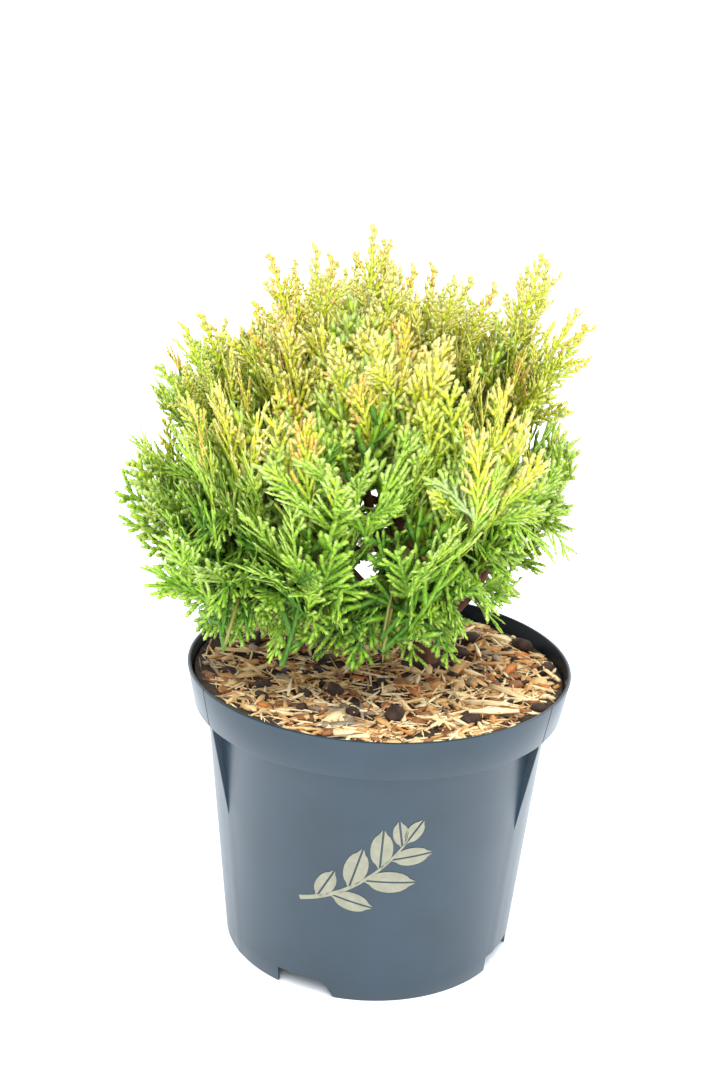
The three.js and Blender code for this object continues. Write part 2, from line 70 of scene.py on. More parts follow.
def add_node(tree, kind, values=None, links=None, **settings):
    """Adds a shader node, sets its settings and input values, and links its inputs."""
    node = tree.nodes.new(kind)
    for name, value in settings.items():
        setattr(node, name, value)
    for name, value in (values or {}).items():
        node.inputs[name].default_value = value
    for name, source in (links or {}).items():
        tree.links.new(source, node.inputs[name])
    return node


def new_material(name, values):
    """A material with a Principled shader whose uniform values are set on its own sockets."""
    material = bpy.data.materials.new(name)
    material.use_nodes = True
    shader = material.node_tree.nodes["Principled BSDF"]
    for socket, value in values.items():
        shader.inputs[socket].default_value = value
    return material, material.node_tree, shader


# %% [markdown]
# A mottled finish comes back on every natural surface here: two close colours mixed by a cloudy
# noise, and a small bump from a finer noise. Both noises read Object coordinates, which are metres
# in this frame, so a grain of so many millimetres needs a scale of one over that length.

# %% A mottled finish
MIX_FROM, MIX_TO = 0.35, 0.65


def mottle(tree, shader, colours, patch_mm, grain_mm, relief_mm, stretch=(1, 1, 1)):
    """Mixes two colours in patches and adds a fine relief."""
    place = add_node(tree, "ShaderNodeTexCoord")
    turned = add_node(tree, "ShaderNodeMapping", {"Scale": stretch}, {"Vector": place.outputs["Object"]})
    patches = add_node(tree, "ShaderNodeTexNoise", {"Scale": 1 / (patch_mm * MM), "Detail": 3},
                       {"Vector": turned.outputs["Vector"]})
    ramp = add_node(tree, "ShaderNodeValToRGB", links={"Fac": patches.outputs["Fac"]})
    for stop, position, colour in zip(ramp.color_ramp.elements, (MIX_FROM, MIX_TO), colours):
        stop.position = position
        stop.color = linear(colour)
    tree.links.new(ramp.outputs["Color"], shader.inputs["Base Color"])
    grain = add_node(tree, "ShaderNodeTexNoise", {"Scale": 1 / (grain_mm * MM), "Detail": 2},
                     {"Vector": turned.outputs["Vector"]})
    bump = add_node(tree, "ShaderNodeBump", {"Strength": 1, "Distance": relief_mm * MM},
                    {"Height": grain.outputs["Fac"]})
    tree.links.new(bump.outputs["Normal"], shader.inputs["Normal"])


# %% [markdown]
# Operators act on whatever is selected, so a new piece starts with everything deselected, and it
# ends with one call that gives it its material, its body and the plain solids it stands for.

# %% Starting and finishing a piece
def deselect_all():
    """Leaves nothing selected."""
    bpy.ops.object.select_all(action="DESELECT")


def only(piece):
    """Selects one object alone and makes it the active one."""
    deselect_all()
    piece.select_set(True)
    bpy.context.view_layer.objects.active = piece
    return piece


def edit_all():
    """Goes into edit mode with everything selected."""
    bpy.ops.object.mode_set(mode="EDIT")
    bpy.ops.mesh.select_all(action="SELECT")


def leave_edit():
    """Goes back to object mode."""
    bpy.ops.object.mode_set(mode="OBJECT")


def edit_chosen(chosen):
    """Selects only the points that a test of their place picks, in edit mode."""
    bpy.ops.mesh.select_all(action="DESELECT")
    leave_edit()
    for vertex in bpy.context.object.data.vertices:
        vertex.select = chosen(vertex.co)
    bpy.ops.object.mode_set(mode="EDIT")


def face_outwards():
    """Turns every face of the piece in edit mode outwards, and leaves edit mode."""
    bpy.ops.mesh.select_all(action="SELECT")
    bpy.ops.mesh.normals_make_consistent(inside=False)
    leave_edit()


def joined(pieces):
    """Joins pieces into the first one."""
    deselect_all()
    for piece in pieces:
        piece.select_set(True)
    bpy.context.view_layer.objects.active = pieces[0]
    bpy.ops.object.join()
    return pieces[0]


def place_in_mesh(piece):
    """Moves an object's place, turn and scale into its mesh, so that it sits at the origin."""
    only(piece)
    bpy.ops.object.transform_apply(location=True, rotation=True, scale=True)
    return piece


def apply_modifier(piece, kind, **settings):
    """Adds a modifier, sets it and applies it."""
    only(piece)
    modifier = piece.modifiers.new(kind.lower(), kind)
    for name, value in settings.items():
        setattr(modifier, name, value)
    bpy.ops.object.modifier_apply(modifier=modifier.name)


def triangle_count(piece):
    """How many triangles a piece has when its faces are cut up."""
    return sum(len(face.vertices) - 2 for face in piece.data.polygons)


def finish_piece(piece, name, material, slot, nodes):
    """Names a piece, gives it its finish and lets it stand for plain solids."""
    piece.name = name
    piece.data.name = name
    piece.data.materials.clear()
    piece.data.materials.append(material)
    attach(piece, "root")
    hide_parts(*nodes)
    print(name, triangle_count(piece), "triangles")
    return piece


def mesh_from_arrays(name, vertices, triangles):
    """An object from an array of points and an array of triangles."""
    mesh = bpy.data.meshes.new(name)
    mesh.vertices.add(len(vertices))
    mesh.vertices.foreach_set("co", vertices.astype(np.float32).ravel())
    mesh.loops.add(3 * len(triangles))
    mesh.loops.foreach_set("vertex_index", triangles.astype(np.int32).ravel())
    mesh.polygons.add(len(triangles))
    mesh.polygons.foreach_set("loop_start", np.arange(0, 3 * len(triangles), 3, dtype=np.int32))
    mesh.update(calc_edges=True)
    piece = bpy.data.objects.new(name, mesh)
    bpy.context.scene.collection.objects.link(piece)
    return piece


# %% [markdown]
# ## Camera, light and floor
#
# The camera stands a little over 0.7 m in front of the pot and well above it, looking down by
# about 19 degrees, with the slight roll of a hand-held shot. Its place, its three angles in radians
# and its lens were worked out from known sizes in the view.

# %% Camera
CAMERA_PLACE = Vector((0, -734.2, 455.8)) * MM
CAMERA_DOWN = 0.33555
CAMERA_TURN = -0.01584
CAMERA_ROLL = 0.0447
LENS_IN_PIXELS = 1694.3
IMAGE_HEIGHT = 1080
SENSOR = 36

forward = Vector((math.sin(CAMERA_TURN) * math.cos(CAMERA_DOWN),
                  math.cos(CAMERA_TURN) * math.cos(CAMERA_DOWN),
                  -math.sin(CAMERA_DOWN)))
level_right = Vector((math.cos(CAMERA_TURN), -math.sin(CAMERA_TURN), 0))
level_up = level_right.cross(forward)
camera_right = math.cos(CAMERA_ROLL) * level_right + math.sin(CAMERA_ROLL) * level_up
camera_up = math.cos(CAMERA_ROLL) * level_up - math.sin(CAMERA_ROLL) * level_right

deselect_all()
bpy.ops.object.camera_add()
camera = bpy.context.object
camera_turn = Matrix((camera_right, camera_up, -forward)).transposed().to_4x4()
camera.matrix_world = Matrix.Translation(CAMERA_PLACE) @ camera_turn
camera.data.sensor_fit = "VERTICAL"
camera.data.sensor_height = SENSOR
camera.data.lens = SENSOR * LENS_IN_PIXELS / IMAGE_HEIGHT
bpy.context.scene.camera = camera
print("lens", round(camera.data.lens, 1), "mm")

# %% [markdown]
# A bright, nearly shadowless studio: white light from all round, and one soft lamp, as wide as a
# window, from the front and above, which picks out the tips. A sun lamp with a wide angle is used
# for it, because its light stays even over the whole floor. The Standard view keeps the colours as
# they were picked. The floor is a wide white sheet, so that it fills the view.

# %% Light and floor
KEY_STRENGTH = 2.5
KEY_WIDTH = math.radians(50)
KEY_PLACE = Vector((0.05, -0.7, 1.2))
SURROUND = 1.95
FLOOR_SIZE = 16

scene = bpy.context.scene
scene.view_settings.view_transform = "Standard"
world = bpy.data.worlds.new("white studio")
scene.world = world
world.use_nodes = True
world.node_tree.nodes["Background"].inputs["Color"].default_value = linear("#f5faff")
world.node_tree.nodes["Background"].inputs["Strength"].default_value = SURROUND

deselect_all()
bpy.ops.object.light_add(type="SUN", location=KEY_PLACE)
key = bpy.context.object
key.data.energy = KEY_STRENGTH
key.data.angle = KEY_WIDTH
key.rotation_euler = (-KEY_PLACE).to_track_quat("-Z", "Y").to_euler()

deselect_all()
bpy.ops.mesh.primitive_plane_add(size=FLOOR_SIZE)
floor = bpy.context.object
floor.name = "studio_floor"
paper, paper_tree, paper_shader = new_material("matt white paper", {"Roughness": 0.9})
mottle(paper_tree, paper_shader, ("#eef1f4", "#f2f5f8"), patch_mm=400, grain_mm=2, relief_mm=0.02)
floor.data.materials.append(paper)

# %% [markdown]
# ## The pot
#
# A nursery pot is injection-moulded polypropylene, 1.8 mm thick, with a stiff collar, a recessed
# floor on a foot rim and drainage slots in that rim. It could be turned with a spin of its
# profile. Here the rings are drawn one after another: a circle is extruded to the next level and
# scaled to the next radius, from the middle of the foot, up the wall, over the lip and down the
# inside. That keeps each radius and level in one short list.

# %% Pot sizes
POT_HEIGHT = 141
LIP_RADIUS = 90
COLLAR_HEIGHT = 19
COLLAR_FOOT_RADIUS = 86.5
BODY_TOP_RADIUS = 80.6
BASE_RADIUS = 69.1
WALL = 1.8
SLOT_TOP = 8.8
FLOOR_LEVEL = 9
FLOOR_TOP = 11
BOSS_RADIUS = 10
RING_POINTS = 144
LEDGE = POT_HEIGHT - COLLAR_HEIGHT


def wall_radius(level):
    """The outer radius of the pot at a level."""
    if level < LEDGE:
        return BASE_RADIUS + (BODY_TOP_RADIUS - BASE_RADIUS) * level / LEDGE
    share = (level - LEDGE) / COLLAR_HEIGHT
    return COLLAR_FOOT_RADIUS + (LIP_RADIUS - COLLAR_FOOT_RADIUS) * share


# %% [markdown]
# The pot is one chain of rings, and so is the bed of mulch later on, so one function extrudes such a
# chain. The last ring is filled as it stands, and the first one is picked out again by its radius
# and level and filled too, which closes the body.

# %% Rings of the pot
NEAR = 0.01 * MM


def first_ring(radius, level):
    """A circle to start from, left in edit mode with all of it selected."""
    deselect_all()
    bpy.ops.mesh.primitive_circle_add(vertices=RING_POINTS, radius=radius * MM, location=(0, 0, 0))
    ring = bpy.context.object
    edit_all()
    bpy.ops.transform.translate(value=(0, 0, level * MM))
    return ring


def next_rings(rings):
    """Extrudes the selected ring from each radius and level to the next."""
    for (old_radius, old_level), (radius, level) in zip(rings, rings[1:]):
        rise = (0, 0, (level - old_level) * MM)
        bpy.ops.mesh.extrude_region_move(TRANSFORM_OT_translate={"value": rise})
        bpy.ops.transform.resize(value=(radius / old_radius, radius / old_radius, 1))


def closed_rings(rings):
    """A closed body of rings, each given by its radius and level."""
    body = first_ring(*rings[0])
    next_rings(rings)
    bpy.ops.mesh.edge_face_add()
    radius, level = rings[0]
    edit_chosen(lambda place: abs(place.z - level * MM) < NEAR
                and abs(place.xy.length - radius * MM) < NEAR)
    bpy.ops.mesh.edge_face_add()
    face_outwards()
    return body


POT_RINGS = [
    (BOSS_RADIUS, 0),
    (BOSS_RADIUS, FLOOR_LEVEL),
    (wall_radius(FLOOR_LEVEL) - WALL, FLOOR_LEVEL),
    (BASE_RADIUS - WALL, 0),
    (BASE_RADIUS, 0),
    (wall_radius(SLOT_TOP), SLOT_TOP),
    (BODY_TOP_RADIUS, LEDGE),
    (COLLAR_FOOT_RADIUS, LEDGE),
    (LIP_RADIUS, POT_HEIGHT),
    (LIP_RADIUS - WALL, POT_HEIGHT),
    (wall_radius(LEDGE + WALL) - WALL, LEDGE + WALL),
    (BODY_TOP_RADIUS - WALL, LEDGE + WALL),
    (wall_radius(FLOOR_TOP) - WALL, FLOOR_TOP),
    (BOSS_RADIUS, FLOOR_TOP),
]
pot = closed_rings(POT_RINGS)
print("pot rings:", len(POT_RINGS), "triangles:", triangle_count(pot))

# %% [markdown]
# The mould leaves three faint upright seams on the wall. One column of points is moved out by a
# fraction of a millimetre for each, which makes a low ridge. Then every sharp edge is rounded by a
# Bevel modifier, because moulded plastic never has a knife edge and the rounding catches light.
# The ring just above the slots keeps the long faces of the wall whole when the slots are cut.

# %% Seams and rounded edges
SEAM_TURNS = (-30, 90, -150)
SEAM_HEIGHT = 0.25
SEAM_REACH = 0.05
TOLERANCE = 0.001
EDGE_ROUND = 0.55

for vertex in pot.data.vertices:
    turn = math.degrees(math.atan2(vertex.co.y, vertex.co.x))
    level = vertex.co.z / MM
    outer = abs(vertex.co.xy.length / MM - wall_radius(min(level, LEDGE - TOLERANCE))) < SEAM_REACH
    if level < LEDGE + TOLERANCE and outer and any(abs(turn - seam) < 1 for seam in SEAM_TURNS):
        vertex.co.xy *= 1 + SEAM_HEIGHT / wall_radius(level)

apply_modifier(pot, "BEVEL", width=EDGE_ROUND * MM, segments=2, limit_method="ANGLE",
               angle_limit=math.radians(35))
print("rounded pot:", triangle_count(pot), "triangles")

# %% [markdown]
# Under the collar, at each seam, a thin three-sided gusset stiffens the step. It is a cube, pressed
# to a plate that stands out from the wall as far as the collar does, with its lower edge pulled
# back to the wall. The seam runs on over the collar as a fine groove, cut later with the slots.

# %% Gussets under the collar
GUSSET_HEIGHT = 46
GUSSET_THICKNESS = 1
GUSSET_SINK = 0.9
GUSSET_FOOT_STEP = 0.2
GUSSET_BELOW_LIP = 0.9
GUSSET_INTO_COLLAR = 0.5
GROOVE_WIDTH = 0.7
GROOVE_DEPTH = 0.5
CUTTER_REACH = 3
CUTTER_PLAY = 1


def turned_in_place(piece, turn):
    """Turns a piece made on the +X side round the pot's axis."""
    piece.rotation_euler = (0, 0, math.radians(turn))
    return place_in_mesh(piece)


def plate(corners, thickness):
    """A flat plate in the plane of the axis, by its four corners as radius and level."""
    deselect_all()
    bpy.ops.mesh.primitive_cube_add(size=2, location=(0, 0, 0))
    piece = bpy.context.object
    for vertex in piece.data.vertices:
        radius, level = corners[(vertex.co.x > 0, vertex.co.z > 0)]
        vertex.co = Vector((radius, vertex.co.y * thickness / 2, level)) * MM
    return piece


def gusset(turn):
    """A three-sided plate that stands out under the collar."""
    foot, top = LEDGE - GUSSET_HEIGHT, LEDGE + GUSSET_INTO_COLLAR
    corners = {
        (False, False): (wall_radius(foot) - GUSSET_SINK, foot),
        (True, False): (wall_radius(foot) + GUSSET_FOOT_STEP, foot),
        (False, True): (BODY_TOP_RADIUS - GUSSET_SINK, top),
        (True, True): (COLLAR_FOOT_RADIUS - GUSSET_BELOW_LIP, top),
    }
    return turned_in_place(plate(corners, GUSSET_THICKNESS), turn)


def groove_cutter(turn):
    """A plate that cuts the seam's groove into the collar."""
    inner, outer = COLLAR_FOOT_RADIUS - GROOVE_DEPTH, LIP_RADIUS - GROOVE_DEPTH
    foot, top = LEDGE - CUTTER_PLAY, POT_HEIGHT + CUTTER_PLAY
    corners = {
        (False, False): (inner, foot),
        (True, False): (inner + CUTTER_REACH, foot),
        (False, True): (outer, top),
        (True, True): (outer + CUTTER_REACH, top),
    }
    return turned_in_place(plate(corners, GROOVE_WIDTH), turn)


gussets = [gusset(turn) for turn in SEAM_TURNS]

# %% [markdown]
# Water leaves through slots in the foot rim and holes in the floor. They are cut last, with one
# Boolean by a joined set of cutters. Each slot has one steep and one slanted side, so its cutter
# is a cube whose upper edge is pulled in on one side.

# %% Drainage slots and holes
SLOT_TURNS = (-111, -21, 69, 159)
SLOT_WIDTH_ANGLE = 28
SLOT_HEIGHT = 8
SLOT_SLANT = 5
SLOT_DEPTH = 16
HOLE_COUNT = 6
HOLE_RING_RADIUS = 44
HOLE_RADIUS = 5
HOLE_DEPTH = 6


def slot_cutter(turn):
    """A block across the foot rim, slanted on one side."""
    width = 2 * BASE_RADIUS * math.sin(math.radians(SLOT_WIDTH_ANGLE / 2)) * MM
    deselect_all()
    bpy.ops.mesh.primitive_cube_add(size=1, location=(0, 0, 0))
    cutter = bpy.context.object
    edit_all()
    bpy.ops.transform.resize(value=(width, SLOT_DEPTH * MM, 2 * SLOT_HEIGHT * MM))
    edit_chosen(lambda place: place.z > 0 and place.x > 0)
    bpy.ops.transform.translate(value=(-2 * SLOT_SLANT * MM, 0, 0))
    leave_edit()
    angle = math.radians(turn)
    cutter.location = (BASE_RADIUS * MM * math.cos(angle), BASE_RADIUS * MM * math.sin(angle), 0)
    cutter.rotation_euler = (0, 0, angle + math.pi / 2)
    return place_in_mesh(cutter)


def hole_cutter(turn):
    """A short rod through the pot's floor."""
    deselect_all()
    reach = HOLE_RING_RADIUS * MM
    spot = (reach * math.cos(turn), reach * math.sin(turn), (FLOOR_LEVEL + FLOOR_TOP) / 2 * MM)
    bpy.ops.mesh.primitive_cylinder_add(vertices=32, radius=HOLE_RADIUS * MM, depth=HOLE_DEPTH * MM,
                                        location=spot)
    return place_in_mesh(bpy.context.object)


cutters = [slot_cutter(turn) for turn in SLOT_TURNS]
cutters += [hole_cutter(i * math.tau / HOLE_COUNT) for i in range(HOLE_COUNT)]
cutters += [groove_cutter(turn) for turn in SEAM_TURNS]
cutter = joined(cutters)
apply_modifier(pot, "BOOLEAN", object=cutter, operation="DIFFERENCE", solver="EXACT")
bpy.data.objects.remove(cutter)
joined([pot, *gussets])
bpy.ops.object.shade_smooth_by_angle(angle=math.radians(30))
print("pot with slots, holes and gussets:", triangle_count(pot), "triangles")

# %% [markdown]
# The real plastic is recycled polypropylene with a satin skin from the polished mould. To the eye
# that is a slate blue-grey that turns pale where it meets the light at a low angle, with a breath
# of unevenness in the gloss and a fine tooth of about half a millimetre. The inside of the rim lies
# in its own shade and looks nearly black, and that shade is painted on: a mask picks out the inside
# of the rim, by its distance from the axis less the slope of the collar and by its level, and gives
# it a painted shade, a nearly black and duller skin.

# %% Pot plastic
# Painted shade: the nearly black colour that stands for the shade inside the rim.
RIM_SHADE = "#14181c"
SHINE, RIM_SHINE = 0.55, 0.1
SMOOTHEST, ROUGHEST = 0.26, 0.36
WALL_SHARE = 0.6
HANDLING_PATCH = 18
plastic, plastic_tree, plastic_shader = new_material(
    "injection-moulded polypropylene", {"IOR": 1.49})
mottle(plastic_tree, plastic_shader, ("#20303b", "#243541"), patch_mm=30, grain_mm=0.5,
       relief_mm=0.006)
plastic_place = add_node(plastic_tree, "ShaderNodeTexCoord")
flattened = add_node(plastic_tree, "ShaderNodeVectorMath", {1: (1, 1, 0)},
                     {0: plastic_place.outputs["Object"]}, operation="MULTIPLY")
from_axis = add_node(plastic_tree, "ShaderNodeVectorMath", links={"Vector": flattened.outputs["Vector"]},
                     operation="LENGTH")
parts = add_node(plastic_tree, "ShaderNodeSeparateXYZ", links={"Vector": plastic_place.outputs["Object"]})
collar_slope = (LIP_RADIUS - COLLAR_FOOT_RADIUS) / COLLAR_HEIGHT
straightened = add_node(plastic_tree, "ShaderNodeMath", {1: -collar_slope},
                        {0: parts.outputs["Z"], 2: from_axis.outputs["Value"]}, operation="MULTIPLY_ADD")
middle_of_wall = (LIP_RADIUS - collar_slope * POT_HEIGHT - WALL_SHARE * WALL) * MM
within = add_node(plastic_tree, "ShaderNodeMath", {1: middle_of_wall}, {0: straightened.outputs["Value"]},
                  operation="LESS_THAN")
above_ledge = add_node(plastic_tree, "ShaderNodeMath", {1: (LEDGE + WALL) * MM}, {0: parts.outputs["Z"]},
                       operation="GREATER_THAN")
# The mask of the painted shade on the inside of the rim.
rim_shade_mask = add_node(plastic_tree, "ShaderNodeMath", operation="MULTIPLY",
                      links={0: within.outputs["Value"], 1: above_ledge.outputs["Value"]})
wall_colour = plastic_shader.inputs["Base Color"].links[0].from_socket
# Mixes the painted shade into the plastic's colour inside the rim.
skin = add_node(plastic_tree, "ShaderNodeMix", {"B": linear(RIM_SHADE)},
                {"Factor": rim_shade_mask.outputs["Value"], "A": wall_colour}, data_type="RGBA")
plastic_tree.links.new(skin.outputs["Result"], plastic_shader.inputs["Base Color"])
shine = add_node(plastic_tree, "ShaderNodeMapRange", {"To Min": SHINE, "To Max": RIM_SHINE},
                 {"Value": rim_shade_mask.outputs["Value"]})
plastic_tree.links.new(shine.outputs["Result"], plastic_shader.inputs["Specular IOR Level"])
handling = add_node(plastic_tree, "ShaderNodeTexNoise", {"Scale": 1 / (HANDLING_PATCH * MM), "Detail": 4},
                    {"Vector": plastic_place.outputs["Object"]})
gloss = add_node(plastic_tree, "ShaderNodeMapRange", {"To Min": SMOOTHEST, "To Max": ROUGHEST},
                 {"Value": handling.outputs["Fac"]})
plastic_tree.links.new(gloss.outputs["Result"], plastic_shader.inputs["Roughness"])
finish_piece(pot, "nursery_pot", plastic, "pot", ["pot"])

# %% [markdown]
# ## The print on the pot
#
# A plain leafy sprig in grey-beige ink decorates the front. A half leaf is shaped from a circle:
# its ends are drawn out to points and it is cut along its midrib, which leaves a thin unprinted
# vein between two halves. Such halves are set along a bowed stem, flat in front of the pot, and a
# Shrinkwrap modifier lays the whole print on the wall.

# %% Leaves of the print
PRINT_CENTRE = Vector((-3, -120, 66))
PRINT_SCALE = 1.15
PRINT_TILT = math.radians(-38)
PRINT_STEM_RADIUS = 70
PRINT_STEM_WIDTH = 1.5
PRINT_STEM_START = -27
PRINT_STEM_LENGTH = 51
PRINT_LIFT = 0.08
PRINT_INK = 0.12
VEIN_GAP = 0.8
LEAF_POINTS = 20
LEAF_SPREAD = math.radians(42)
LEAF_SLIMNESS = 0.44
# Each leaf's place along the stem, its side of it, with 0 for the one on the end, and its length.
PRINT_LEAVES = [(-20, 1, 15), (-14, -1, 17), (-6, 1, 19), (1, -1, 20), (9, 1, 18), (15, -1, 16),
                (22, 1, 12), (24, 0, 12)]


def half_leaf(length, side):
    """Half of a pointed leaf along +X, on one side of its midrib."""
    deselect_all()
    bpy.ops.mesh.primitive_circle_add(vertices=LEAF_POINTS, radius=0.5, fill_type="NGON")
    leaf = bpy.context.object
    edit_all()
    bpy.ops.transform.resize(value=(0.8 * length * MM, LEAF_SLIMNESS * length * MM, 1))
    bpy.ops.mesh.bisect(plane_co=(0, 0, 0), plane_no=(0, side, 0), clear_inner=True)
    leave_edit()
    for vertex in leaf.data.vertices:
        if abs(vertex.co.y) < NEAR:
            vertex.co.x += math.copysign(0.1 * length * MM, vertex.co.x)
        vertex.co += Vector((0.5 * length, side * VEIN_GAP / 2, 0)) * MM
    return leaf


def printed_leaf(along, side, length):
    """A leaf of two halves, at a place along the bowed stem."""
    bend = along / PRINT_STEM_RADIUS
    foot = Vector((PRINT_STEM_RADIUS * math.sin(bend), PRINT_STEM_RADIUS * (1 - math.cos(bend)), 0))
    heading = bend + LEAF_SPREAD * side
    halves = [half_leaf(length, half_side) for half_side in (1, -1)]
    for half in halves:
        half.rotation_euler = (0, 0, heading)
        half.location = foot * MM
        place_in_mesh(half)
    return halves


def printed_stem():
    """A thin bowed strip that carries the leaves."""
    deselect_all()
    bpy.ops.mesh.primitive_grid_add(x_subdivisions=24, y_subdivisions=1, size=1)
    stem = bpy.context.object
    for vertex in stem.data.vertices:
        share = vertex.co.x + 0.5
        bend = (PRINT_STEM_START + PRINT_STEM_LENGTH * share) / PRINT_STEM_RADIUS
        radius = PRINT_STEM_RADIUS - vertex.co.y * PRINT_STEM_WIDTH * (1.3 - 0.8 * share)
        vertex.co = Vector((radius * math.sin(bend), PRINT_STEM_RADIUS - radius * math.cos(bend), 0)) * MM
    return stem


# %% [markdown]
# The flat halves are joined and cut finer, so that they can bend, then turned upright, tilted and
# projected on the wall from the front. A Solidify modifier gives the ink its thickness.

# %% Laying the print on the wall
flat_pieces = [printed_stem()]
for leaf_values in PRINT_LEAVES:
    flat_pieces += printed_leaf(*leaf_values)
sprig = joined(flat_pieces)
edit_all()
bpy.ops.mesh.quads_convert_to_tris()
bpy.ops.mesh.subdivide(number_cuts=4)
leave_edit()
sprig.rotation_euler = (math.pi / 2, 0, 0)
place_in_mesh(sprig)
tilt = Matrix.Rotation(PRINT_TILT, 4, "Y") @ Matrix.Scale(PRINT_SCALE, 4)
sprig.data.transform(Matrix.Translation(PRINT_CENTRE * MM) @ tilt)
apply_modifier(sprig, "SHRINKWRAP", target=pot, wrap_method="PROJECT", use_project_y=True,
               use_positive_direction=True, offset=PRINT_LIFT * MM, wrap_mode="ABOVE_SURFACE")
apply_modifier(sprig, "SOLIDIFY", thickness=PRINT_INK * MM, offset=1)
only(sprig)
edit_all()
face_outwards()
print("sprig:", triangle_count(sprig), "triangles")

# %% [markdown]
# Pad-printed ink is a thin, slightly chalky film. It hides the gloss of the plastic under it, so
# it is rougher, and a cloudy unevenness of a few millimetres shows where the pad left less ink.

# %% Print ink
ink, ink_tree, ink_shader = new_material("pad-printed ink", {"Roughness": 0.55})
mottle(ink_tree, ink_shader, ("#807e6a", "#8b8975"), patch_mm=4, grain_mm=0.3, relief_mm=0.005)
finish_piece(sprig, "printed_sprig", ink, "pot", ["pot"])

# %% [markdown]
# ## The mulch
#
# Under the chips lies a crumbly bed of dark bark soil. It is drawn with rings like the pot, closer
# together, and roughened by a noise that both the bed and the chips ask for their level, so that
# nothing floats and nothing sinks out of sight.

# %% Bed of the mulch
BED_LEVEL = 133.4
BED_ROUGHNESS = 1.7
COARSE_LUMPS, FINE_LUMPS = 17, 5
HEAP = 4.4
HEAP_SIDE = Vector((-0.6, -0.8))
MOUND, MOUND_WIDTH = 1.2, 22
BED_CLEARANCE = 0.4
BED_RADIUS = wall_radius(BED_LEVEL) - WALL - BED_CLEARANCE
BED_BOTTOM = 124.4
BED_BOTTOM_RADIUS = BED_RADIUS - 0.8
BED_RING_STEP = 2.6
TRUNK_FOOT = Vector((22, 18))


def bed_level(x, y):
    """The level of the crumbly bed at a place, higher round the trunk and up one side of the rim."""
    coarse = noise.noise(Vector((x / COARSE_LUMPS, y / COARSE_LUMPS, 3.1)))
    fine = noise.noise(Vector((x / FINE_LUMPS, y / FINE_LUMPS, 7.7)))
    mound = MOUND * math.exp(-((Vector((x, y)) - TRUNK_FOOT).length / MOUND_WIDTH) ** 2)
    spot = Vector((x, y)) / BED_RADIUS
    heaped = HEAP * spot.length ** 4 * (0.5 + 0.5 * spot.dot(HEAP_SIDE))
    return BED_LEVEL + BED_ROUGHNESS * (0.7 * coarse + 0.4 * fine) + mound + heaped


bed_rings = [(BED_BOTTOM_RADIUS, BED_BOTTOM), (BED_RADIUS, BED_LEVEL)]
while bed_rings[-1][0] > 2 * BED_RING_STEP:
    bed_rings.append((bed_rings[-1][0] - BED_RING_STEP, BED_LEVEL))
bed = closed_rings(bed_rings)
for vertex in bed.data.vertices:
    if vertex.co.z > (BED_LEVEL - 1) * MM:
        vertex.co.z = bed_level(vertex.co.x / MM, vertex.co.y / MM) * MM
bpy.ops.object.shade_smooth()

peat, peat_tree, peat_shader = new_material("composted bark", {"Roughness": 0.95})
mottle(peat_tree, peat_shader, ("#24170f", "#4a3421"), patch_mm=2.4, grain_mm=0.9, relief_mm=0.7)
finish_piece(bed, "mulch_bed", peat, "wood_chips", ["wood_chip_mulch"])

# %% [markdown]
# Shredded wood is a mix of long splinters, thin straws, broad flakes, short stubs and a few dark
# lumps of bark. Each kind is modelled once, as by hand: a cube is stretched to its size, cut
# finer, drawn in at its ends and shaken a little, so that it looks torn and not sawn. A kind has
# only a few dozen faces, because it will be copied hundreds of times.

# %% Kinds of wood chips
def shaken_block(size, end_share, shake, seed):
    """A block of a size in millimetres, drawn in at both ends and shaken."""
    deselect_all()
    bpy.ops.mesh.primitive_cube_add(size=1, location=(0, 0, 0))
    block = bpy.context.object
    edit_all()
    bpy.ops.mesh.subdivide(number_cuts=1)
    bpy.ops.transform.resize(value=(size[0] * MM, size[1] * MM, size[2] * MM))
    edit_chosen(lambda place: abs(place.x) > 0.4 * size[0] * MM)
    bpy.ops.transform.resize(value=(1, end_share, 0.7))
    bpy.ops.mesh.select_all(action="SELECT")
    bpy.ops.transform.vertex_random(offset=shake * MM, seed=seed)
    bpy.ops.mesh.quads_convert_to_tris()
    leave_edit()
    return block


def bark_lump(radius, seed):
    """A knobbly lump of bark."""
    deselect_all()
    bpy.ops.mesh.primitive_ico_sphere_add(subdivisions=2, radius=radius * MM, location=(0, 0, 0))
    lump = bpy.context.object
    edit_all()
    bpy.ops.transform.resize(value=(1.25, 1, 0.7))
    bpy.ops.transform.vertex_random(offset=0.16 * radius * MM, seed=seed)
    leave_edit()
    return lump


def taken_arrays(piece):
    """The points and triangles of a small piece, which is then removed."""
    points = np.array([vertex.co[:] for vertex in piece.data.vertices])
    triangles = np.array([face.vertices[:] for face in piece.data.polygons])
    bpy.data.objects.remove(piece)
    return points, triangles


# Each kind's length, width and thickness, how wide its ends stay, its shake and its own seed.
BLOCKS = {
    "splinter": ((20, 2.6, 1.5), 0.35, 0.4, 1),
    "long_splinter": ((27, 3.4, 1.8), 0.45, 0.55, 2),
    "straw": ((17, 1.1, 0.7), 0.5, 0.25, 3),
    "fibre": ((15, 0.6, 0.5), 0.5, 0.3, 7),
    "slab": ((22, 6, 2.2), 0.55, 0.9, 8),
    "flake": ((11, 6.5, 1.2), 0.6, 0.6, 4),
    "stub": ((7.5, 3.4, 2.2), 0.7, 0.5, 5),
}
LUMP_RADIUS = 4.2
LUMP_SEED = 6
CHIP_KINDS = {kind: taken_arrays(shaken_block(*values)) for kind, values in BLOCKS.items()}
CHIP_KINDS["lump"] = taken_arrays(bark_lump(LUMP_RADIUS, LUMP_SEED))
print({kind: len(triangles) for kind, (points, triangles) in CHIP_KINDS.items()})

# %% [markdown]
# The chips are dropped one after another on a map of levels. Each asks the map how high the pile
# is under its middle and its two ends, lies down on that, and raises the map where it lies. The
# long pale ones come last, so that they end on top, as they do in a pot that has been watered.

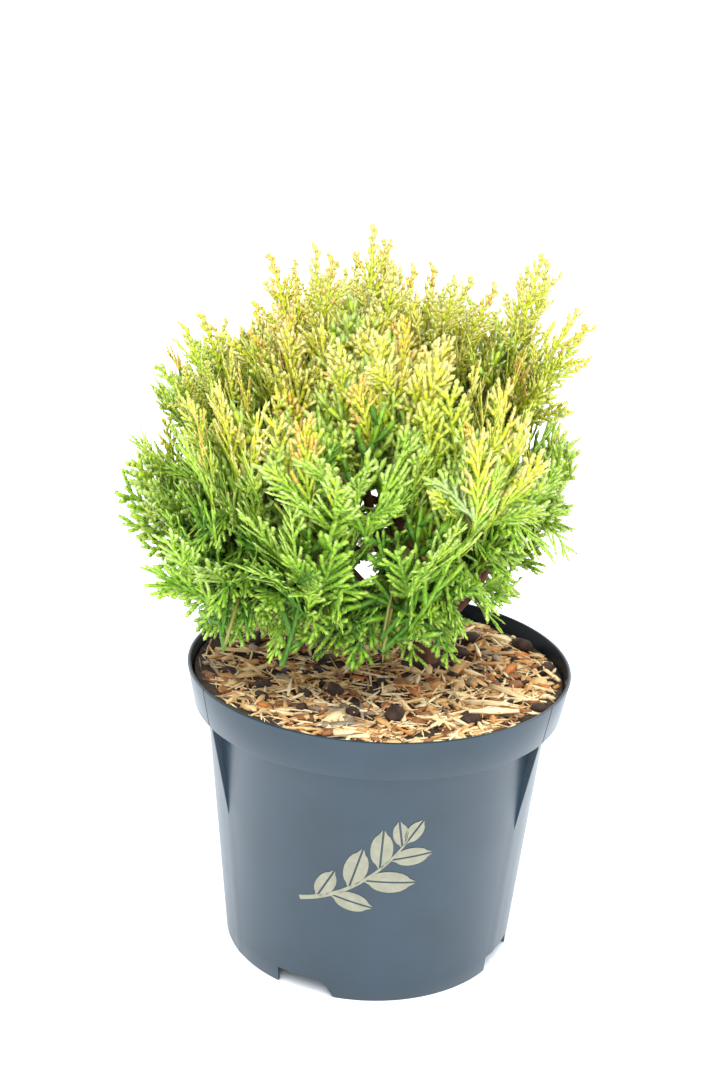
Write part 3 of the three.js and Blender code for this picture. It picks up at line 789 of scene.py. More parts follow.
# %% Dropping the chips
MAP_STEP = 1.5
MAP_SIZE = int(2 * LIP_RADIUS / MAP_STEP)
PILE_TOP = 140.4
RIM_CLEARANCE = 1.2
TRUNK_CLEARANCE = 11
STEEPEST = 0.35
MOST_ROLL = 0.7
# A chip touches the pile at CHIP_END of its length on both sides of its middle, and its middle may
# sink in by CHIP_SINK. It lies above the pile, and raises it, by these shares of its thickness.
CHIP_END = 0.4
CHIP_SINK = 0.3
RESTING_SHARE = 0.35
RAISING_SHARE = 0.15
# Each round's kind, how many of it fall, and the smallest and largest scale.
CHIP_ROUNDS = [
    ("flake", 130, (0.5, 1.1)), ("stub", 190, (0.5, 1.1)), ("lump", 44, (0.4, 1.1)),
    ("splinter", 300, (0.4, 0.95)), ("slab", 18, (0.45, 0.75)), ("straw", 340, (0.5, 1.1)),
    ("flake", 40, (0.5, 1.0)), ("long_splinter", 44, (0.5, 0.9)), ("slab", 8, (0.45, 0.75)),
    ("stub", 100, (0.35, 0.85)), ("straw", 360, (0.35, 1.0)), ("fibre", 520, (0.5, 1.3)),
    ("splinter", 110, (0.4, 0.85)),
]
CHIP_TINTS = {
    "straw_wood": ("#f3deb0", "#e9ca98"),
    "tan_wood": ("#e3c08c", "#d4aa6e"),
    "honey_wood": ("#d0a066", "#ba864f"),
    "brown_wood": ("#9c6c44", "#7f5032"),
    "orange_wood": ("#c98044", "#b06a36"),
    "grey_wood": ("#a5917a", "#8b7964"),
    "dark_bark": ("#463327", "#2c1e17"),
}
# How often each kind gets each of the tints above, in their order.
CHIP_TINT_SHARES = {
    "splinter": (0.34, 0.32, 0.18, 0.07, 0.03, 0.04, 0.02),
    "long_splinter": (0.42, 0.34, 0.16, 0.03, 0, 0.05, 0),
    "straw": (0.46, 0.28, 0.12, 0.08, 0.03, 0.03, 0),
    "slab": (0.4, 0.34, 0.14, 0.04, 0.02, 0.04, 0.02),
    "fibre": (0.3, 0.3, 0.2, 0.12, 0.04, 0.04, 0),
    "flake": (0.16, 0.26, 0.2, 0.18, 0.04, 0.06, 0.1),
    "stub": (0.1, 0.2, 0.2, 0.22, 0.03, 0.06, 0.19),
    "lump": (0, 0, 0, 0.1, 0, 0.12, 0.78),
}
# The few that catch the eye keep their own places: kind, tint, scale, x, y and turn.
PLACED_CHIPS = [
    ("lump", "dark_bark", 1.5, 57, 25, 70), ("lump", "dark_bark", 1.3, 72, 3, 20),
    ("lump", "dark_bark", 1.1, 70, 38, -30), ("lump", "dark_bark", 1.2, 18, -30, 0),
    ("lump", "dark_bark", 1.0, 8, -50, 40), ("lump", "dark_bark", 1.1, -55, -34, 80),
    ("stub", "orange_wood", 1.2, 62, 6, 60), ("stub", "orange_wood", 0.8, -50, -48, 20),
    ("slab", "straw_wood", 1.0, 49, -34, -25), ("slab", "straw_wood", 0.9, 60, -20, -38),
    ("slab", "tan_wood", 1.0, 44, -2, -52), ("slab", "honey_wood", 0.9, 36, 2, 65),
    ("slab", "tan_wood", 0.9, -58, -50, 60), ("long_splinter", "straw_wood", 0.9, 52, -48, 20),
    ("long_splinter", "tan_wood", 0.95, -66, 14, 4), ("slab", "grey_wood", 0.8, -14, -62, 12),
]

pile = np.array([[bed_level((i + 0.5) * MAP_STEP - LIP_RADIUS, (j + 0.5) * MAP_STEP - LIP_RADIUS)
                  for j in range(MAP_SIZE)] for i in range(MAP_SIZE)])


def map_cell(x, y):
    """The cell of the map of levels at a place."""
    cell = (int((x + LIP_RADIUS) / MAP_STEP), int((y + LIP_RADIUS) / MAP_STEP))
    return tuple(min(max(part, 0), MAP_SIZE - 1) for part in cell)


def any_place(dice):
    """A place anywhere on the bed and a turn, by chance."""
    radius = BED_RADIUS * math.sqrt(dice.random())
    angle = dice.uniform(0, math.tau)
    return Vector((radius * math.cos(angle), radius * math.sin(angle))), dice.uniform(0, math.tau)


def dropped_chip(points, scale, dice, middle, turn):
    """The points of one chip in metres, lying on the pile, or None where it has no room."""
    length, thickness = np.ptp(points[:, 0]) * scale / MM, np.ptp(points[:, 2]) * scale / MM
    heading = Vector((math.cos(turn), math.sin(turn)))
    ends = [middle + heading * CHIP_END * length * side for side in (-1, 1)]
    farthest = max((middle + heading * 0.5 * length * side).length for side in (-1, 1))
    if farthest > BED_RADIUS - RIM_CLEARANCE:
        return None
    if (middle - TRUNK_FOOT).length < 0.3 * length + TRUNK_CLEARANCE:
        return None
    levels = [pile[map_cell(*end)] for end in ends]
    level = max(sum(levels) / 2, pile[map_cell(*middle)] - CHIP_SINK) + RESTING_SHARE * thickness
    if level + 0.5 * thickness > PILE_TOP:
        return None
    slope = max(min((levels[1] - levels[0]) / (2 * CHIP_END * length), STEEPEST), -STEEPEST)
    for share in np.linspace(-CHIP_END, CHIP_END, max(3, int(length / MAP_STEP))):
        cell = map_cell(*(middle + heading * share * length))
        pile[cell] = max(pile[cell], level + share * length * slope + RAISING_SHARE * thickness)
    turned = Matrix.Rotation(turn, 3, "Z") @ Matrix.Rotation(-math.atan(slope), 3, "Y")
    turned = turned @ Matrix.Rotation(dice.uniform(-MOST_ROLL, MOST_ROLL), 3, "X")
    spot = np.array((middle.x, middle.y, level)) * MM
    return (points * scale) @ np.array(turned).T + spot


chip_dice = random.Random(SEED)
chip_points = {tint: [] for tint in CHIP_TINTS}
chip_faces = {tint: [] for tint in CHIP_TINTS}


def add_chip(kind, tint, scale, middle, turn):
    """Drops a chip of a kind and keeps it for the mesh of its tint."""
    points, faces = CHIP_KINDS[kind]
    dropped = dropped_chip(points, scale, chip_dice, middle, turn)
    if dropped is not None:
        chip_faces[tint].append(faces + sum(len(part) for part in chip_points[tint]))
        chip_points[tint].append(dropped)


for kind, count, scales in CHIP_ROUNDS:
    for _ in range(count):
        tint = chip_dice.choices(list(CHIP_TINTS), CHIP_TINT_SHARES[kind])[0]
        add_chip(kind, tint, chip_dice.uniform(*scales), *any_place(chip_dice))
for kind, tint, scale, x, y, turn in PLACED_CHIPS:
    add_chip(kind, tint, scale, Vector((x, y)), math.radians(turn))
print("chips:", sum(len(parts) for parts in chip_points.values()))

# %% [markdown]
# Fresh shredded softwood is torn, so its surface is rough by a few tenths of a millimetre, and the
# wood is paler and darker in patches of a few millimetres. Both take the gloss off the chips. Each
# batch of chips has its own close pair of colours, since a real chip keeps one colour of its own.

# %% Wood of the chips
for tint, colours in CHIP_TINTS.items():
    wood, wood_tree, wood_shader = new_material("shredded softwood, " + tint.replace("_", " "),
                                                {"Roughness": 0.78, "Specular IOR Level": 0.3})
    mottle(wood_tree, wood_shader, colours, patch_mm=3.5, grain_mm=0.7, relief_mm=0.25)
    chips = mesh_from_arrays("chips", np.vstack(chip_points[tint]), np.vstack(chip_faces[tint]))
    finish_piece(chips, "chips_" + tint, wood, "wood_chips", ["wood_chip_mulch"])

# %% [markdown]
# ## Trunk, stems and boughs
#
# The plant has a very short trunk that forks into five stems just above the mulch. Boughs leave
# the stems and carry one foliage mass each. A limb is drawn as a Bezier curve through three or
# four places, with a round bevel that tapers, then turned into a mesh and roughened with a Displace
# modifier. That is quicker than extruding rings and keeps the bends smooth. The places are those
# of the plain model, in millimetres.

# %% Places of the limbs
GROUND = 135.8
FORK = Vector((19, 15, 145))
STEM_RADII = (4, 2.8, 1.9)
BOUGH_RADII = (2.2, 1.8, 1.4)
BOUGH_LOW_BOW = 4.2
BOUGH_HIGH_BOW = -3.5
BOUGH_ROOT_DEPTH = 0.72
STEMS = {
    "leader": ((4, 8, 210), (-10, 0, 268)),
    "stem_left": ((-22, 6, 188), (-62, 2, 240)),
    "stem_right": ((47, 8, 186), (52, 4, 252)),
    "stem_front": ((4, -12, 184), (-12, -40, 244)),
    "stem_back": ((4, 36, 194), (-6, 46, 246)),
}

# %% [markdown]
# Each mass is a round lobe seen from the heart of the crown: a turn round the heart, a rise above
# it, how far its tips reach and how wide it spreads. The last two values name its stem and where
# its bough leaves that stem, with 1 for a mass that sits on the stem's own tip.

# %% Places of the foliage masses
HEART = Vector((-12, 4, 220))
MASSES = {
    "left_wing": (182, 1, 113, 39, "stem_left", 0.72),
    "left_front_low": (-143, -16, 108, 41, "stem_left", 0.5),
    "front_left_low": (-108, -6, 100, 41, "stem_front", 0.6),
    "front_right_low": (-66, -5, 98, 41, "stem_front", 0.42),
    "right_front_low": (-32, -14, 94, 37, "stem_right", 0.36),
    "right_low": (16, -7, 99, 37, "stem_right", 0.5),
    "skirt_front": (-92, -40, 86, 30, "stem_front", 0.25),
    "skirt_left": (-170, -34, 101, 33, "stem_left", 0.3),
    "left_shoulder": (172, 34, 113, 39, "stem_left", 1),
    "left_front_gold": (-137, 24, 105, 42, "stem_left", 0.86),
    "front_gold": (-98, 26, 105, 41, "stem_front", 1),
    "right_front_gold": (-48, 26, 109, 44, "stem_right", 0.7),
    "right_wing": (-4, 14, 105, 38, "stem_right", 0.82),
    "right_shoulder": (6, 46, 121, 38, "stem_right", 1),
    "crown_front": (-74, 54, 108, 37, "leader", 0.6),
    "crown_back": (118, 66, 105, 36, "leader", 0.5),
    "top_left": (-165, 64, 109, 37, "leader", 0.72),
    "top": (-100, 83, 111, 36, "leader", 1),
    "top_right": (30, 72, 106, 34, "leader", 0.84),
    "back_left_high": (133, 32, 107, 42, "stem_back", 0.88),
    "back_high": (90, 42, 106, 42, "stem_back", 1),
    "back_right_high": (48, 28, 107, 42, "stem_back", 0.78),
    "back_left_low": (142, -14, 102, 42, "stem_back", 0.6),
    "back_low": (96, -12, 100, 42, "stem_back", 0.48),
    "back_right_low": (52, -11, 98, 41, "stem_back", 0.34),
}
# The tips of the upright shoots that stand above the crown, by the mass that each grows from.
SPIRES = {
    "left_shoulder": [(-83, -2, 304), (-92, -4, 298), (-104, -6, 280)],
    "top_left": [(-74, -8, 298), (-53, -2, 331), (-44, 2, 321), (-34, -6, 335), (-27, -2, 330),
                 (-20, 4, 323)],
    "top": [(-11, -4, 345), (-5, 2, 338), (1, -4, 329), (9, 2, 326)],
    "top_right": [(17, -2, 328), (27, 2, 322), (33, -3, 324), (45, 2, 319)],
    "right_shoulder": [(56, -4, 330), (62, 0, 335), (68, 3, 332), (81, 0, 312), (87, 2, 303)],
    "back_high": [(-20, 52, 322), (2, 58, 314), (-38, 50, 312)],
    "back_right_high": [(38, 52, 304), (54, 44, 298)],
    "back_left_high": [(-66, 46, 300), (-84, 34, 290)],
}
FOLIAGE_NODES = ["foliage_" + name for name in MASSES]


class Mass:
    """One lobe of foliage: its outward direction, centre and spread, in millimetres."""

    def __init__(self, name, turn, rise, reach, spread, stem, share):
        turn, rise = math.radians(turn), math.radians(rise)
        self.name, self.rise, self.spread, self.stem, self.share = name, rise, spread, stem, share
        level_out = Vector((math.cos(turn), math.sin(turn), 0))
        self.out = level_out * math.cos(rise) + Vector((0, 0, math.sin(rise)))
        self.centre = HEART + self.out * (reach - spread)


masses = [Mass(name, *values) for name, values in MASSES.items()]
print("masses:", len(masses), "stems:", len(STEMS))

# %% [markdown]
# A bough starts on its stem's curve, so points of that curve are worked out from the stem's three
# places. The bough ends at the root of its mass, with its middle raised a little on low boughs and
# lowered on high ones.

# %% Curves of the limbs
def bow_point(places, share):
    """A point on the smooth curve through three places, at a share of its length."""
    start, middle, end = places
    first, second = (middle - start).length, (end - middle).length
    cut = first / (first + second)
    pull = (end - start) / (first + second)
    if share <= cut:
        t = share / cut
        a, b, leave, meet = start, middle, (1.5 * (middle - start) - 0.5 * first * pull), first * pull
    else:
        t = (share - cut) / (1 - cut)
        a, b, leave, meet = middle, end, second * pull, (1.5 * (end - middle) - 0.5 * second * pull)
    return ((2 * t ** 3 - 3 * t ** 2 + 1) * a + (t ** 3 - 2 * t ** 2 + t) * leave
            + (3 * t ** 2 - 2 * t ** 3) * b + (t ** 3 - t ** 2) * meet)


stem_places = {name: (FORK, Vector(middle), Vector(tip)) for name, (middle, tip) in STEMS.items()}
bough_places = {}
for mass in masses:
    start = bow_point(stem_places[mass.stem], mass.share)
    mass.root = start
    if mass.share < 1:
        inwards = (start - mass.centre).normalized()
        mass.root = mass.centre + inwards * mass.spread * BOUGH_ROOT_DEPTH
        middle = start.lerp(mass.root, 0.5)
        middle.z += BOUGH_LOW_BOW if mass.rise < 0 else BOUGH_HIGH_BOW
        bough_places[mass.name] = (start, middle, mass.root)


def add_limb(places, radii):
    """A tapering limb as a mesh: a Bezier curve with a round bevel of 1 mm times each radius."""
    deselect_all()
    bpy.ops.curve.primitive_bezier_curve_add(location=(0, 0, 0))
    limb = bpy.context.object
    limb.data.dimensions = "3D"
    limb.data.bevel_depth = MM
    limb.data.bevel_resolution = 3
    limb.data.resolution_u = 24
    limb.data.use_fill_caps = True
    spline = limb.data.splines[0]
    spline.bezier_points.add(len(places) - 2)
    for knot, place, radius in zip(spline.bezier_points, places, radii):
        knot.handle_left_type = knot.handle_right_type = "AUTO"
        knot.co = Vector(place) * MM
        knot.radius = radius
    bpy.ops.object.convert(target="MESH")
    return bpy.context.object


# %% [markdown]
# Bark on such young wood is thin and peels in strips. A cloudy texture moves the surface by up to
# 0.7 mm on the trunk and less on the thinner limbs, and a noise drawn out along the height gives
# the fibres. It is a dark red-brown on the trunk and stems, and redder and smoother on the boughs.

# %% Bark
TRUNK_PLACES = [(22.2, 18, GROUND - 5), (22, 18, GROUND), (21.2, 17.2, GROUND + 4), (19, 15, 147.6)]
TRUNK_RADII = [9, 7.6, 5.9, 5.2]
TRUNK_RELIEF, STEM_RELIEF, BOUGH_RELIEF = 1.4, 0.8, 0.5
bark_relief = bpy.data.textures.new("peeling bark", "CLOUDS")
bark_relief.noise_scale = 4 * MM


def roughened(piece, depth):
    """Moves the surface of a limb in and out by up to half of a depth."""
    apply_modifier(piece, "DISPLACE", texture=bark_relief, strength=depth * MM, mid_level=0.5)
    bpy.ops.object.shade_smooth()
    return piece


old_bark, old_tree, old_shader = new_material("peeling conifer bark", {"Roughness": 0.85})
mottle(old_tree, old_shader, ("#452618", "#6e4630"), patch_mm=5, grain_mm=0.8, relief_mm=0.5,
       stretch=(1, 1, 0.25))
young_bark, young_tree, young_shader = new_material("young red bark", {"Roughness": 0.7})
mottle(young_tree, young_shader, ("#5e2f1c", "#7e4529"), patch_mm=4, grain_mm=0.8, relief_mm=0.3,
       stretch=(1, 1, 0.3))

trunk = roughened(add_limb(TRUNK_PLACES, TRUNK_RADII), TRUNK_RELIEF)
finish_piece(trunk, "trunk_bark", old_bark, "bark", ["trunk"])
stems = joined([add_limb(places, STEM_RADII) for places in stem_places.values()])
roughened(stems, STEM_RELIEF)
finish_piece(stems, "stem_bark", old_bark, "bark", list(STEMS))
boughs = joined([add_limb(places, BOUGH_RADII) for places in bough_places.values()])
roughened(boughs, BOUGH_RELIEF)
finish_piece(boughs, "bough_bark", young_bark, "bark", ["bough_" + name for name in bough_places])

# %% [markdown]
# ## Sprays of scale leaves
#
# Hiba foliage is a flat, fern-like fan. Its cords are covered with pairs of thick scale leaves
# that stand out left and right like teeth. Every cord is built from the same step: two notches, two
# teeth that point forwards and a raised ridge, ten triangles for a pair of leaves. The last pair
# closes to a blunt tip. The outline and the facets of the ridge give the small glints of the real
# scales, so that the material only has to add a fine grain and a painted shade in the seams between
# them. The sizes here are millimetres in the fan's own plane, x across, y along and z out of its
# upper side.

# %% One cord of scale leaves
LEAF_STEP = 1.8
NOTCH_HALF_WIDTH = 1.05
TOOTH_HALF_WIDTH = 1.55
TOOTH_FORWARD = 0.6
RIDGE = 0.6
TOOTH_DROP = -0.15
TIP_FORWARD = 0.35
TIP_RISE = 0.2
CORD_TAPER = 0.25


def cord_path(start, turn, length, bend, slope, step):
    """Places of the leaf pairs along a cord that bends and rises steadily, and its headings."""
    count = max(2, round(length / step))
    turns = turn + bend * np.arange(count + 1) / count
    headings = np.stack((np.sin(turns), np.cos(turns)), axis=1)
    moves = np.column_stack((headings[:-1], np.full(count, slope))) * step
    return np.vstack((start, start + np.cumsum(moves, axis=0))), headings


def cord_mesh(places, headings, first, last, blunt, step, size):
    """Points and triangles of the leaf pairs from first to last. A blunt end closes to a tip."""
    points, triangles = [], []
    count = len(places) - 1
    for i in range(first, last + 1):
        place = places[i]
        along = np.array((*headings[i], 0))
        across_cord = np.array((-headings[i][1], headings[i][0], 0))
        width = size * (1 - CORD_TAPER * (i / count) ** 3)
        if i == last and blunt:
            points.append(place + along * TIP_FORWARD * step + np.array((0, 0, TIP_RISE * size)))
            break
        for side in (1, -1):
            points.append(place + across_cord * side * NOTCH_HALF_WIDTH * width)
        points.append(place + np.array((0, 0, RIDGE * width)))
        if i < last:
            for side in (1, -1):
                tooth = along * TOOTH_FORWARD * step + across_cord * side * TOOTH_HALF_WIDTH * width
                points.append(place + tooth + np.array((0, 0, TOOTH_DROP * width)))
    pairs = last - first
    for k in range(pairs):
        left, right, ridge, left_tooth, right_tooth = range(5 * k, 5 * k + 5)
        if blunt and k == pairs - 1:
            tip = 5 * (k + 1)
            triangles += [
                (ridge, tip, left_tooth), (ridge, left_tooth, left), (ridge, right, right_tooth),
                (ridge, right_tooth, tip), (left, tip, right), (left, left_tooth, tip),
                (right, tip, right_tooth),
            ]
            continue
        next_left, next_right, next_ridge = range(5 * (k + 1), 5 * (k + 1) + 3)
        triangles += [
            (ridge, next_ridge, next_left), (ridge, next_left, left_tooth), (ridge, left_tooth, left),
            (ridge, right, right_tooth), (ridge, right_tooth, next_right), (ridge, next_right, next_ridge),
            (left, next_left, next_right), (left, next_right, right),
            (left, left_tooth, next_left), (right, next_right, right_tooth),
        ]
    triangles.append((0, 1, 2))
    if not blunt:
        end = 5 * pairs
        triangles.append((end + 1, end, end + 2))
    return np.array(points), np.array(triangles)


# %% [markdown]
# A fan is one main cord with side cords left and right in turn. The side cords leave it at a wide
# angle and bend forwards, they are longest in the lower third, and most of the long ones carry a
# short cord of their own. New growth is paler, so the last pairs of every cord are kept apart as
# its tip, to be given a lighter tint. A few fans of each kind are drawn this way, with some chance,
# and copied.

# %% Fans
MAIN_TIP_SHARE, SIDE_TIP_SHARE, OWN_TIP_SHARE = 0.3, 0.45, 0.6
FORK_CHANCE = 0.75
FORK_LEAST_PAIRS = 6


def stacked(meshes):
    """Joins pairs of point and triangle arrays into one pair."""
    starts = np.cumsum([0] + [len(points) for points, _ in meshes[:-1]])
    return (np.vstack([points for points, _ in meshes]),
            np.vstack([faces + start for (_, faces), start in zip(meshes, starts)]))


class Fan:
    """A flat fan: a main cord and side cords, each a list of closed bodies and pale tips."""

    def __init__(self, dice, length, side_length, departure, step=LEAF_STEP, size=0.9):
        self.length, self.step, self.size = length, step, size
        bend = math.radians(dice.uniform(-16, 16))
        places, headings = cord_path(np.zeros(3), 0, length, bend, 0, step)
        self.cords = [self.cord(places, headings, MAIN_TIP_SHARE)]
        side = dice.choice((1, -1))
        for i in range(2, len(places) - 2, 2):
            share = i / (len(places) - 1)
            # Longer from the foot to the lower third, and then shorter all the way to the tip.
            outline = min(0.6 + 1.7 * share, 1.15 - 0.75 * share ** 1.4)
            reach = side_length * outline * dice.uniform(0.8, 1.15)
            leave = math.radians(dice.uniform(departure - 6, departure + 6)) * side
            self.cords.append(self.side_cord(dice, places[i], headings[i], leave, reach, side))
            side = -side

    def side_cord(self, dice, start, main_heading, leave, reach, side):
        """A side cord that bends forwards, often with a short cord of its own."""
        turn = math.atan2(*main_heading) + leave
        bend = -side * math.radians(dice.uniform(6, 28))
        slope = dice.uniform(-0.22, 0.22)
        places, headings = cord_path(start, turn, reach, bend, slope, self.step)
        parts = self.cord(places, headings, SIDE_TIP_SHARE)
        if len(places) > FORK_LEAST_PAIRS and dice.random() < FORK_CHANCE:
            fork = len(places) // 2 - 1
            own_turn = math.atan2(*headings[fork]) + side * math.radians(dice.uniform(26, 38))
            own_reach = reach * dice.uniform(0.36, 0.5)
            own = cord_path(places[fork], own_turn, own_reach, -side * 0.2, slope, self.step)
            parts += self.cord(*own, OWN_TIP_SHARE)
        return parts

    def cord(self, places, headings, tip_share):
        """A cord as a list of parts: whether it is a tip, its points and its triangles."""
        pairs = len(places) - 1
        body_pairs = pairs - max(1, round(pairs * tip_share))
        parts = [(True, *cord_mesh(places, headings, body_pairs, pairs, True, self.step, self.size))]
        if body_pairs > 0:
            parts.append((False, *cord_mesh(places, headings, 0, body_pairs, False, self.step, self.size)))
        return parts

    def triangles(self):
        """How many triangles the fan has."""
        return sum(len(faces) for cord in self.cords for _, _, faces in cord)


# How many of each kind are drawn, the fan's length, that of its side cords and the angle at which
# they leave it, and for two kinds the step and the size of the scales too.
FAN_KINDS = {
    "wide": (5, 44, 17, 38),
    "wide_side": (4, 30, 13, 38),
    "slim": (6, 47, 20, 26),
    "slim_side": (4, 34, 16, 26),
    "plume": (5, 34, 9, 27, 1.7, 0.78),
    "inner": (3, 30, 12, 38, 2.6, 0.75),
}
fan_dice = random.Random(SEED + 1)
FANS = {kind: [Fan(fan_dice, *values) for _ in range(count)]
        for kind, (count, *values) in FAN_KINDS.items()}
for kind, fans in FANS.items():
    print(kind, [fan.triangles() for fan in fans])

# %% [markdown]
# ## Growing the crown
#
# The crown grows by the rule of the plain solids, carried further. Each lobe keeps to its own
# space: a point belongs to the lobe whose surface it is deepest inside, with flat walls where two
# lobes cross. Twigs leave the middle of a lobe in directions spread evenly by the golden angle,
# then lean outwards and, high in the crown, upwards, and end where the lobe or its space ends.
# A few lines of sight from the camera stay open, where sky or shade shows between the fans: a cord
# or twig that would cross one is left out.

# %% Spaces of the masses
WALL_SLACK = 5
LIP_REACH = 80
LOWEST_OVER_MULCH = 141
LOWEST_OVER_LIP = 144
THROUGH = 2000
TO_STEMS = 792
# A place on each open line of sight, its radius, and how far from the camera it stays open.
GAPS = [
    ((-10, 0, 184), 3, THROUGH), ((-8, 0, 219), 2.6, THROUGH), ((40, 10, 166), 2.6, TO_STEMS),
    ((47, 8, 182), 2, TO_STEMS), ((-2, -82, 267), 4, 700), ((-16, -85, 259), 3, 700),
    ((-30, -84, 226), 3, 700), ((10, -84, 232), 3, 700), ((-52, -72, 240), 3, 704),
    ((-35, -78, 282), 2.6, 700), ((2, -78, 285), 2.6, 700), ((31, -78, 288), 2.4, 704),
    ((61, -78, 282), 2.6, 708),
]
CENTRES = np.array([mass.centre[:] for mass in masses])
SPREADS = np.array([mass.spread for mass in masses])
for index, mass in enumerate(masses):
    distances = np.linalg.norm(CENTRES - CENTRES[index], axis=1)
    mass.index, mass.distances = index, np.where(distances == 0, 1, distances)


def wall_room(point, mass):
    """How far a point is inside the nearest wall between this mass and the others."""
    powers = ((CENTRES - np.array(point)) ** 2).sum(1) - SPREADS ** 2
    rooms = (powers - powers[mass.index]) / (2 * mass.distances)
    rooms[mass.index] = np.inf
    return rooms.min()


def above_ground(point):
    """Whether a point is clear of the mulch and of the pot's lip."""
    over_lip = math.hypot(point.x, point.y) > LIP_REACH
    return point.z > (LOWEST_OVER_LIP if over_lip else LOWEST_OVER_MULCH)


def in_gap(points, margin=0):
    """Whether any of these points would close a gap that the camera sees through the crown."""
    eye = np.array(CAMERA_PLACE) / MM
    for place, radius, depth in GAPS:
        line = np.array(place) - eye
        line /= np.linalg.norm(line)
        away = points - eye
        along = away @ line
        aside = np.linalg.norm(away - np.outer(along, line), axis=1)
        if np.any((aside < radius + margin) & (along < depth)):
            return True
    return False


def room_along(start, heading, mass):
    """How far a twig can run, and whether it ends at the crown's surface."""
    length, point = 0, start.copy()
    while length < 2 * mass.spread:
        if (point - mass.centre).length > mass.spread:
            return length, True
        if not above_ground(point):
            return length, True
        if wall_room(point, mass) < -WALL_SLACK:
            return length, False
        point += heading
        length += 1
    return length, True


# %% [markdown]
# The colour of a spray follows its place, as on the living plant: the sun bleaches the top to pale
# gold with apricot tips, the sides stay lime, and the skirt and everything shaded stay green. Some
# parts of the crown are more golden or greener than the rest, and each is a soft round lump that
# adds to the tint or takes from it. A spray gets one plain tint for its lower cords, one for its
# upper cords and a paler one for its tips.

# %% Tints of the sprays
TINT_COLOURS = {
    "deep_green": ("#4e762c", "#5a8434"),
    "mid_green": ("#7ea63c", "#8cb448"),
    "fresh_green": ("#a0c44e", "#acce5a"),
    "lime": ("#bfd450", "#c8da5c"),
    "yellow_lime": ("#d7dc54", "#dee25f"),
    "gold": ("#e5df58", "#eae464"),
    "green_tips": ("#b4d068", "#bed672"),
    "lime_tips": ("#cedb68", "#d6e072"),
    "gold_tips": ("#e7dd7a", "#ebe28a"),
    "peach_tips": ("#eed880", "#f1de8c"),
    "apricot_tips": ("#e6b866", "#ebc476"),
    "frosted": ("#b8cc80", "#c2d48e"),
}
TINTS = list(TINT_COLOURS)
# A spray's level is the number of its body tint, from deep green to gold, and gives its tips.
TIPS_BY_LEVEL = ["mid_green", "fresh_green", "green_tips", "green_tips", "lime_tips", "gold_tips"]
GREEN_LEVEL = 148
GOLD_LEVEL = 300
LEVEL_LOSS = 0.34
LEVEL_CHANCE = 0.13
# Each lump's middle, its radius, and how much more golden, or with a minus greener, it is.
LUMPS = [
    ((45, -50, 282), 34, 0.2), ((-64, -62, 275), 32, 0.2), ((-98, -10, 268), 30, 0.16),
    ((78, -56, 262), 36, 0.2), ((100, -10, 275), 32, 0.2), ((31, -76, 226), 24, 0.14),
    ((-26, -69, 291), 30, 0.12), ((-39, -84, 245), 20, 0.1), ((-6, -82, 258), 26, -0.36),
    ((-44, -74, 246), 16, -0.2), ((12, -82, 230), 22, -0.24), ((-20, -85, 200), 30, -0.06),
    ((-10, -58, 164), 40, -0.12),
]
INNER_LOSS = 0.42
INNER_HIGHEST = 3
PALE_LEVEL = 4
APRICOT_SHARE = 0.13
PEACH_SHARE = 0.36
FROSTED_SHARE = 0.04
SPIRE_APRICOT_SHARE = 0.34
SPIRE_LEVEL = 305


def goldness(point, dice):
    """From 0, shaded green, to 1, bleached gold, with some chance."""
    level = point.z - LEVEL_LOSS * point.xy.length
    share = (level - GREEN_LEVEL) / (GOLD_LEVEL - GREEN_LEVEL)
    for place, radius, strength in LUMPS:
        share += strength * math.exp(-((point - Vector(place)).length / radius) ** 2)
    return share + dice.gauss(0, LEVEL_CHANCE)


def tints_of(point, outer, dice):
    """The tints of a spray's lower cords, its upper cords and its tips."""
    share = goldness(point, dice)
    if not outer:
        share -= INNER_LOSS * (1 - 0.7 * min(max(share, 0), 1))
    level = min(max(int(share * 5 + 1.1), 0), 5 if outer else INNER_HIGHEST)
    shaded, body, tip = TINTS[max(level - 1, 0)], TINTS[level], TIPS_BY_LEVEL[level]
    on_spire = point.z > SPIRE_LEVEL
    chance = dice.random()
    if level >= PALE_LEVEL and chance < (SPIRE_APRICOT_SHARE if on_spire else APRICOT_SHARE):
        tip = "apricot_tips"
    elif level >= PALE_LEVEL and chance < PEACH_SHARE:
        tip = "peach_tips"
    if level in (2, 3) and outer and dice.random() < FROSTED_SHARE:
        body = "frosted"
    if level < 3:
        shaded = body
    if outer and on_spire:
        body = "gold_tips"
    return shaded, body, tip


# %% [markdown]
# A spray is laid out from its root by three directions: its heading, the side it faces and the
# side it spreads to. Its copy is bent and twisted along its length and cupped across, so no two
# fans lie alike. All points of a tint are collected first and become a few large meshes at the
# end, because a thousand small objects would be slow to draw and to export.

# %% Laying out sprays and twigs
SPRAY_SINK = 1.2
TWIG_MARGIN = 3
LOW_CORDS = 0.45
MOST_TWIST = 0.3
CUPS = (-0.016, 0.01)
spray_meshes = {tint: [] for tint in TINTS}
twig_runs = {"brown": [], "green": []}


def add_twig(kind, start, end, bow, first_radius, last_radius):
    """Keeps a twig for later, unless it would close a gap."""
    way = np.array([start.lerp(end, share)[:] for share in np.linspace(0, 1, 9)])
    if not in_gap(way, TWIG_MARGIN):
        twig_runs[kind].append((start, end, bow, first_radius, last_radius))


def across(direction, wanted):
    """The wanted direction, made square to another one."""
    return (wanted - direction * wanted.dot(direction)).normalized()


